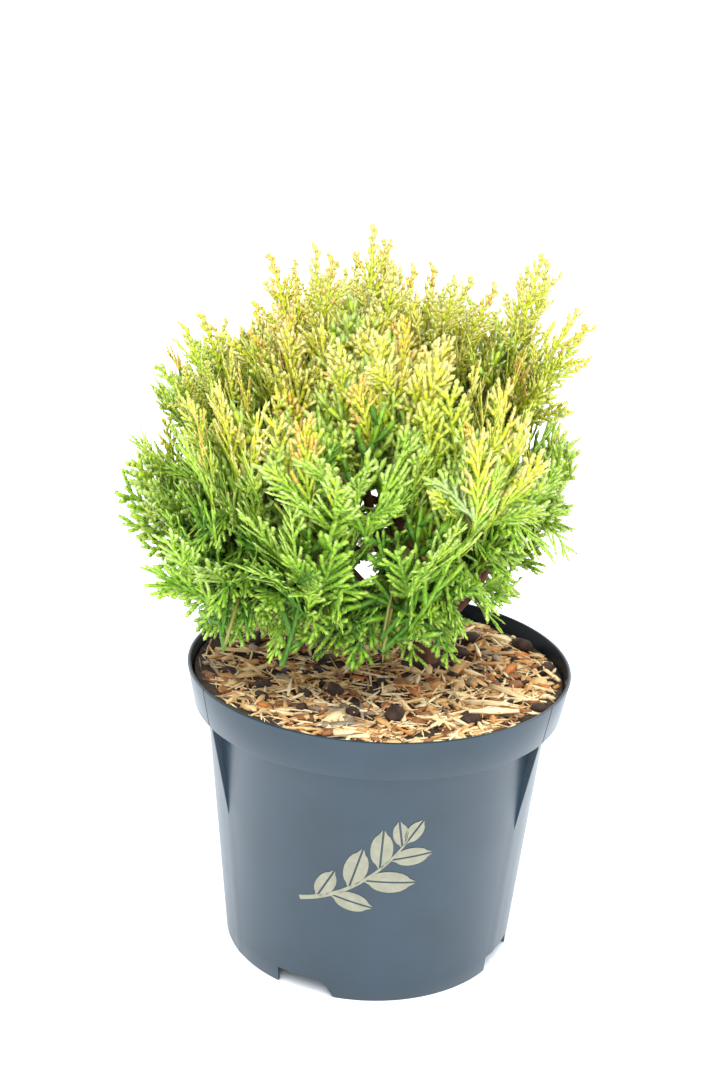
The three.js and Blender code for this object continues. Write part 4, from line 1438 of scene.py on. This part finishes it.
def lay_spray(fan, root, heading, normal, scale, droop, outer, dice):
    """Copies a fan to its place, bent, twisted and cupped, without the cords that close a gap."""
    side = heading.cross(normal)
    axes = np.array((side[:], heading[:], normal[:]))
    tip = root + heading * fan.length * scale + normal * droop * fan.length * scale
    if not above_ground(tip):
        return
    twist = dice.uniform(-MOST_TWIST, MOST_TWIST)
    cup = dice.uniform(*CUPS)
    start = np.array(root - heading * SPRAY_SINK)
    low_tint, body_tint, tip_tint = tints_of(root.lerp(tip, 0.7), outer, dice)
    for number, cord in enumerate(fan.cords):
        laid = []
        cord_tint = low_tint if number < LOW_CORDS * len(fan.cords) else body_tint
        for is_tip, points, faces in cord:
            x, y, z = (points * scale).T
            share = y / (fan.length * scale)
            z = z + droop * y * share + cup * x * x
            cosine, sine = np.cos(twist * share), np.sin(twist * share)
            local = np.stack((x * cosine - z * sine, y, x * sine + z * cosine), axis=1)
            laid.append((tip_tint if is_tip else cord_tint, start + local @ axes, faces))
        if any(in_gap(points) for _, points, _ in laid):
            if number == 0:
                return
            continue
        for tint, points, faces in laid:
            spray_meshes[tint].append((points, faces))


# %% [markdown]
# Twigs are thin and mostly hidden, so each is a five-sided tapering tube along a slightly bowed
# line, made from arrays. Those near the boughs are brown and those that carry the outer sprays are
# still green.

# %% Twigs
TWIG_SIDES = 5
TWIG_STEPS = 3


def twig_tube(start, end, bow, first_radius, last_radius):
    """Points and triangles of a closed, tapering tube from start to end."""
    heading = (end - start).normalized()
    side = across(heading, Vector((0.31, 0.17, 1)))
    other = heading.cross(side)
    points = []
    for i in range(TWIG_STEPS + 1):
        share = i / TWIG_STEPS
        middle = start.lerp(end, share) + bow * 4 * share * (1 - share)
        radius = first_radius + (last_radius - first_radius) * share
        for k in range(TWIG_SIDES):
            angle = math.tau * k / TWIG_SIDES
            points.append((middle + (side * math.cos(angle) + other * math.sin(angle)) * radius)[:])
    points += [start[:], (end + heading * last_radius)[:]]
    triangles = []
    for i in range(TWIG_STEPS):
        for k in range(TWIG_SIDES):
            a, b = i * TWIG_SIDES + k, i * TWIG_SIDES + (k + 1) % TWIG_SIDES
            triangles += [(a, b, b + TWIG_SIDES), (a, b + TWIG_SIDES, a + TWIG_SIDES)]
    last = TWIG_STEPS * TWIG_SIDES
    for k in range(TWIG_SIDES):
        beside = (k + 1) % TWIG_SIDES
        triangles += [(len(points) - 2, beside, k), (len(points) - 1, last + k, last + beside)]
    return np.array(points), np.array(triangles)


# %% [markdown]
# One shoot is a twig with a fan on its end and others on its sides, in turn left and right. Where
# there is little room it is a single fan. Shoots that end inside the crown carry coarse dark fans:
# they are only seen through the gaps, where they keep the light from shining through.

# %% One shoot
CORE_INSET = 0.12
LAYER_SHARES = (0.62, 0.4)
LOWEST_RISE, RISE_RANGE = -35, 65
LEAN_ASIDE = (0.75, 0.5)
LEAN_OUT = 0.8
LEAN_OUT_OF_TOP = 0.4
TOP_RISE = 0.7
LEAN_UP = (0.0, 1.6)
SPRAY_LENGTHS = (37, 49)
PAST_LAYER = (20, 34)
PAST_INNER = (4, 14)
CEILING = 314
CEILING_CENTRE = 5
CEILING_FALL = 0.0035
CEILING_PLAY = 14
DROOPS = (-0.16, 0.12)
SIDE_PLACES = (1, 5)
SIDE_TURNS = (26, 44)
SIDE_LENGTHS = (26, 37)
SHORTEST_SIDE = 13
FACE_UP = 0.45
FACE_PLAY = (0.5, 0.5, 0.3)
SLIM_LEAST = 0.25
SLIM_BY_RISE = 0.6
SLIM_FROM_RISE = -0.3
SHOOT_TWIG = (1.0, 0.7)


def core_of(mass):
    """The middle of a mass, where its twigs come from."""
    return mass.centre - mass.out * CORE_INSET * mass.spread


def by_rise(mass, low_and_high):
    """A value between that of the lowest masses and that of the highest ones."""
    share = (math.degrees(mass.rise) - LOWEST_RISE) / RISE_RANGE
    low, high = low_and_high
    return low + (high - low) * min(max(share, 0), 1)


def facing(place, heading, dice):
    """The side that a spray shows: away from the plant's middle and a little up, with some chance."""
    away = place - HEART
    away.z = 0
    wanted = away.normalized() + Vector((0, 0, FACE_UP))
    wanted += Vector([dice.uniform(-play, play) for play in FACE_PLAY])
    return across(heading, wanted)


def habit_of(mass, dice):
    """High shoots are mostly slim, with cords that run up side by side, and low ones wide."""
    slim_share = SLIM_LEAST + SLIM_BY_RISE * (mass.rise - SLIM_FROM_RISE)
    return "slim" if dice.random() < slim_share else "wide"


def turned_by(heading, sideways, degrees):
    """A heading turned towards one side."""
    angle = math.radians(degrees)
    return heading * math.cos(angle) + sideways * math.sin(angle)


def grow_shoot(mass, direction, layer_share, side, dice):
    """A twig from the middle of the mass that ends in sprays, through a place of one layer."""
    through = mass.centre + direction * layer_share * mass.spread
    aside = direction - mass.out * direction.dot(mass.out)
    outwards = mass.out * dice.uniform(0, LEAN_OUT if mass.rise < TOP_RISE else LEAN_OUT_OF_TOP)
    heading = aside * by_rise(mass, LEAN_ASIDE) + outwards + Vector((0, 0, by_rise(mass, LEAN_UP)))
    heading.normalize()
    ahead, outer = room_along(through, heading, mass)
    if ahead == 0:
        return
    outer = outer and layer_share == LAYER_SHARES[0]
    ahead = min(ahead * dice.uniform(0.85, 1.05), dice.uniform(*(PAST_LAYER if outer else PAST_INNER)))
    ceiling = CEILING - CEILING_FALL * (through.x - CEILING_CENTRE) ** 2 - dice.uniform(0, CEILING_PLAY)
    if through.z + heading.z * ahead > ceiling:
        ahead = (ceiling - through.z) / heading.z
    length = dice.uniform(*SPRAY_LENGTHS)
    root = through + heading * (ahead - length)
    if not above_ground(root):
        return
    droop = dice.uniform(*DROOPS)
    normal = facing(through, heading, dice)
    habit = habit_of(mass, dice)
    fan = dice.choice(FANS[habit if outer else "inner"])
    lay_spray(fan, root, heading, normal, length / fan.length, droop, outer, dice)
    sideways = heading.cross(normal)
    core = core_of(mass)
    add_twig("green", core, root, sideways * dice.uniform(-1.5, 1.5), *SHOOT_TWIG)
    if not outer:
        return
    for own_side, along in zip((side, -side), SIDE_PLACES):
        own_heading = turned_by(heading, sideways, own_side * dice.uniform(*SIDE_TURNS))
        own_heading = (own_heading + normal * dice.uniform(-0.4, 0.4)).normalized()
        own_start = root + heading * along
        own_room, own_outer = room_along(own_start, own_heading, mass)
        own_length = min(own_room * dice.uniform(0.9, 1.05), dice.uniform(*SIDE_LENGTHS))
        if own_length > SHORTEST_SIDE:
            own_fan = dice.choice(FANS[habit + "_side"])
            own_normal = across(own_heading, normal + Vector((0, 0, dice.uniform(-0.3, 0.3))))
            scale = own_length / own_fan.length
            lay_spray(own_fan, own_start, own_heading, own_normal, scale, droop, own_outer, dice)


# %% [markdown]
# Inside the crown there is always more green: short shaded sprays fill it, so that the light only
# comes through where it should.

# %% Shaded sprays
INNER_COUNT = 14
INNER_PLACE = 0.35
INNER_BACK = 0.45
INNER_LENGTHS = (22, 30)


def fill_inside(mass, dice):
    """Short shaded sprays round the middle of a mass."""
    for _ in range(INNER_COUNT):
        stray = Vector([dice.uniform(-1, 1) for _ in range(3)])
        start = core_of(mass) + stray * INNER_PLACE * mass.spread - mass.out * INNER_BACK * mass.spread
        heading = (mass.out * 0.2 + Vector((0, 0, 0.6)) + stray * 0.8).normalized()
        length = dice.uniform(*INNER_LENGTHS)
        normal = facing(start, heading, dice)
        fan = dice.choice(FANS["inner"])
        if wall_room(start + heading * length, mass) > -2 * WALL_SLACK:
            lay_spray(fan, start, heading, normal, length / fan.length, 0, False, dice)


# %% [markdown]
# Spires are the upright shoots that stand above the crown. Each is a slim twig that ends in a
# plume, with shorter plumes held close along its upper half. A view from the front gives where a
# tip shows and not how far away it is, so each tip is moved along its own line of sight: from the
# front all stays as it was, and from above the spires don't stand in a row.

# %% One spire
SPIRE_LENGTH = 31
SIDE_PLUMES = 7
FIRST_PLUME, PLUME_STEP = 7, 5
PLUME_TURN = 30
PLUME_SCALES = (0.42, 0.7)
SPIRE_UP = 0.6
SPIRE_TWIG = (1.1, 0.8)
SPIRE_DEPTHS = (-0.03, 0.035)


def deeper(place, share):
    """The place moved along its line of sight by a share of its distance."""
    eye = CAMERA_PLACE / MM
    return eye + (place - eye) * (1 + share)


def grow_spire(mass, tip, dice):
    """An upright twig with a plume on its end and others along it."""
    core = core_of(mass)
    heading = ((tip - core).normalized() + Vector((0, 0, SPIRE_UP))).normalized()
    twig_end = tip - heading * SPIRE_LENGTH
    normal = across(heading, Vector((dice.uniform(-0.6, 0.6), -1, 0)))
    sideways = heading.cross(normal)
    add_twig("green", core, twig_end, sideways * dice.uniform(-1, 1), *SPIRE_TWIG)
    fan = dice.choice(FANS["plume"])
    lay_spray(fan, twig_end, heading, normal, (SPIRE_LENGTH + 1) / fan.length, 0, True, dice)
    for i in range(SIDE_PLUMES):
        own_turn = (PLUME_TURN if i % 2 == 0 else -PLUME_TURN) + dice.uniform(-6, 6)
        own_heading = turned_by(heading, sideways, own_turn)
        own_heading = (own_heading + normal * dice.uniform(-0.35, 0.35)).normalized()
        fan = dice.choice(FANS["plume"])
        start = twig_end + heading * (FIRST_PLUME - PLUME_STEP * i)
        own_normal = across(own_heading, normal)
        lay_spray(fan, start, own_heading, own_normal, dice.uniform(*PLUME_SCALES), 0, True, dice)


# %% [markdown]
# The lowest fans hang out over the chips, one by one, with gaps between them. Each ends at its own
# place, falls to it from a twig of the nearest mass, and shows its face outwards.

# %% Hanging fans
HANGING_TIPS = [
    (-90, -52, 198), (-76, -58, 183), (-68, -62, 172), (-49, -62, 164), (-31, -66, 175),
    (-13, -60, 165), (-3, -54, 161), (12, -60, 173), (24, -56, 168), (30, -46, 159),
    (18, -44, 158), (37, -54, 176), (50, -52, 187), (58, -48, 196), (74, -40, 207),
    (-98, -20, 176), (-90, 10, 166), (-70, 44, 160), (-40, 66, 158), (0, 72, 160), (36, 66, 168),
    (80, 30, 186), (86, 0, 198),
]
HANGING_LENGTHS = (36, 46)
HANG_OUT, HANG_DOWN = 0.75, 0.75
HANG_TWIG = (0.8, 0.6)
BESIDE_START = 6
BESIDE_TURNS = (30, 46)
BESIDE_SCALES = (0.7, 0.95)


def grow_hanging(tip, dice):
    """A drooping fan with two smaller ones beside it, on a twig of the nearest mass."""
    outwards = (tip - HEART).xy.normalized().to_3d()
    heading = outwards * HANG_OUT + Vector((dice.uniform(-0.25, 0.25), 0, -HANG_DOWN))
    heading.normalize()
    mass = min(masses, key=lambda one: (core_of(one) - tip).length)
    length = dice.uniform(*HANGING_LENGTHS)
    root = tip - heading * length
    normal = across(heading, outwards + Vector((dice.uniform(-0.3, 0.3), 0, 0.5)))
    sideways = heading.cross(normal)
    add_twig("green", core_of(mass), root, Vector((0, 0, 2)), *HANG_TWIG)
    fan = dice.choice(FANS["wide"])
    lay_spray(fan, root, heading, normal, length / fan.length, 0, True, dice)
    for side in (1, -1):
        own_heading = turned_by(heading, sideways, side * dice.uniform(*BESIDE_TURNS))
        own_fan = dice.choice(FANS["wide_side"])
        start, scale = root + heading * BESIDE_START, dice.uniform(*BESIDE_SCALES)
        lay_spray(own_fan, start, own_heading, normal, scale, 0, True, dice)


# %% [markdown]
# Now every mass grows: its brown twigs, its spires, and then its shoots round the golden angle,
# from straight outwards to well past sideways. The skirt has fewer shoots, because the hanging
# fans share its place.

# %% Growing every mass
SHOOTS = 19
LOW_SHOOTS = 6
INNER_SHOOTS = 10
SKIRT_RISE = -33
WIDEST = 120
GOLDEN_TURN = math.radians(137.5)
TWIG_REACH = 0.35
ROOT_TWIG = (1.5, 1.2)
FRONT_TWIG = (1.2, 0.8)


def spread_directions(mass, count, dice):
    """Directions spread evenly round the mass's outward one, from straight out to the widest turn."""
    cap_height = 1 - math.cos(math.radians(WIDEST))
    for i in range(count):
        tilt = math.acos(1 - cap_height * (i + 0.5) / count)
        side = across(mass.out, Vector((0.3, 0.2, 1)))
        side.rotate(Matrix.Rotation(i * GOLDEN_TURN + dice.uniform(-0.25, 0.25), 3, mass.out))
        yield mass.out * math.cos(tilt) + side * math.sin(tilt)


depth_dice = random.Random(SEED + 5)
for mass in masses:
    mass_dice = random.Random(SEED + 17 * (mass.index + 1))
    core = core_of(mass)
    front = mass.centre + mass.out * TWIG_REACH * mass.spread
    add_twig("brown", mass.root, core, Vector((0, 0, 1)), *ROOT_TWIG)
    add_twig("brown", core, front, Vector((0, 0, 0.6)), *FRONT_TWIG)
    for tip in SPIRES.get(mass.name, []):
        grow_spire(mass, deeper(Vector(tip), depth_dice.uniform(*SPIRE_DEPTHS)), mass_dice)
    shoots = SHOOTS if math.degrees(mass.rise) > SKIRT_RISE else LOW_SHOOTS
    for layer_share, count in zip(LAYER_SHARES, (shoots, INNER_SHOOTS)):
        for i, direction in enumerate(spread_directions(mass, count, mass_dice)):
            grow_shoot(mass, direction, layer_share, 1 if i % 2 == 0 else -1, mass_dice)
    fill_inside(mass, mass_dice)
hanging_dice = random.Random(SEED + 3)
for tip in HANGING_TIPS:
    grow_hanging(Vector(tip), hanging_dice)
print("twigs:", sum(len(runs) for runs in twig_runs.values()))
print("triangles by tint:", {tint: sum(len(faces) for _, faces in spray_meshes[tint]) for tint in TINTS})

# %% [markdown]
# Scale leaves are thick and waxy, with a dull bloom, and let a little light through, which softens
# their shaded sides. Their colour varies in patches of a few leaves, and a Voronoi pattern of one
# leaf's size paints shade into the seams between them, a darker and greener colour in the creases
# where shade falls, so that from a step away a cord looks scaly and not like a smooth tube. Each
# tint becomes its own material.

# %% Leaf and twig meshes
MOST_TRIANGLES = 190000
SCALE_LENGTH = 1.7
# How the painted shade in the seams between the scales shifts a leaf's colour.
SEAM_SHADE_SHIFT = {"Hue": 0.51, "Saturation": 1.2, "Value": 0.75}
LEAF_SKIN = {"Roughness": 0.6, "Specular IOR Level": 0.2, "Subsurface Weight": 0.4,
             "Subsurface Radius": (1, 0.9, 0.5), "Subsurface Scale": 2 * MM}
TWIG_COLOURS = {"brown": ("#6a3f28", "#825436"), "green": ("#66782f", "#8a7c3c")}
TWIG_SLOTS = {"brown": "bark", "green": "foliage_lime"}


def split_runs(meshes):
    """Groups of whole sprays, each group under the limit of triangles."""
    groups, count = [[]], 0
    for points, faces in meshes:
        if count + len(faces) > MOST_TRIANGLES:
            groups.append([])
            count = 0
        groups[-1].append((points, faces))
        count += len(faces)
    return groups


def joined_arrays(group):
    """One pair of arrays in metres from a group of meshes in millimetres."""
    points, faces = stacked(group)
    return points * MM, faces


def add_painted_seam_shade(tree, shader):
    """Mixes a painted shade, a darker and greener colour, into the seams between the scales."""
    place = add_node(tree, "ShaderNodeTexCoord")
    cells = add_node(tree, "ShaderNodeTexVoronoi", {"Scale": 1 / (SCALE_LENGTH * MM)},
                     {"Vector": place.outputs["Object"]})
    # The painted shade is strongest along the edges of the Voronoi cells.
    seams = add_node(tree, "ShaderNodeMapRange", {"From Min": 0.3, "From Max": 0.7, "To Max": 0.8},
                     {"Value": cells.outputs["Distance"]})
    skin_colour = shader.inputs["Base Color"].links[0].from_socket
    darker = add_node(tree, "ShaderNodeHueSaturation", SEAM_SHADE_SHIFT, {"Color": skin_colour})
    links = {"Factor": seams.outputs["Result"], "A": skin_colour, "B": darker.outputs["Color"]}
    scaly = add_node(tree, "ShaderNodeMix", links=links, data_type="RGBA")
    tree.links.new(scaly.outputs["Result"], shader.inputs["Base Color"])


def slot_of(tint):
    """The plain material that a tint stands for."""
    if "green" in tint:
        return "foliage_green"
    return "foliage_gold" if tint.startswith(("gold", "apricot", "peach")) else "foliage_lime"


for tint, colours in TINT_COLOURS.items():
    leaf, leaf_tree, leaf_shader = new_material("waxy scale leaves, " + tint.replace("_", " "), LEAF_SKIN)
    mottle(leaf_tree, leaf_shader, colours, patch_mm=6, grain_mm=1.2, relief_mm=0.12)
    add_painted_seam_shade(leaf_tree, leaf_shader)
    for number, group in enumerate(split_runs(spray_meshes[tint]), 1):
        if group:
            leaves = mesh_from_arrays("leaves", *joined_arrays(group))
            finish_piece(leaves, f"leaves_{tint}_{number}", leaf, slot_of(tint), FOLIAGE_NODES)

for kind, colours in TWIG_COLOURS.items():
    skin, skin_tree, skin_shader = new_material(kind + " twig skin", {"Roughness": 0.6})
    mottle(skin_tree, skin_shader, colours, patch_mm=5, grain_mm=1, relief_mm=0.15)
    tubes = [twig_tube(*run) for run in twig_runs[kind]]
    twigs = mesh_from_arrays("twigs", *joined_arrays(tubes))
    finish_piece(twigs, kind + "_twigs", skin, TWIG_SLOTS[kind], FOLIAGE_NODES)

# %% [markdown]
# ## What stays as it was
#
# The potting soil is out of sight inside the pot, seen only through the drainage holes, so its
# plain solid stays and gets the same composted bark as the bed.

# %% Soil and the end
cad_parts["potting_soil"].data.materials.clear()
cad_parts["potting_soil"].data.materials.append(peat)
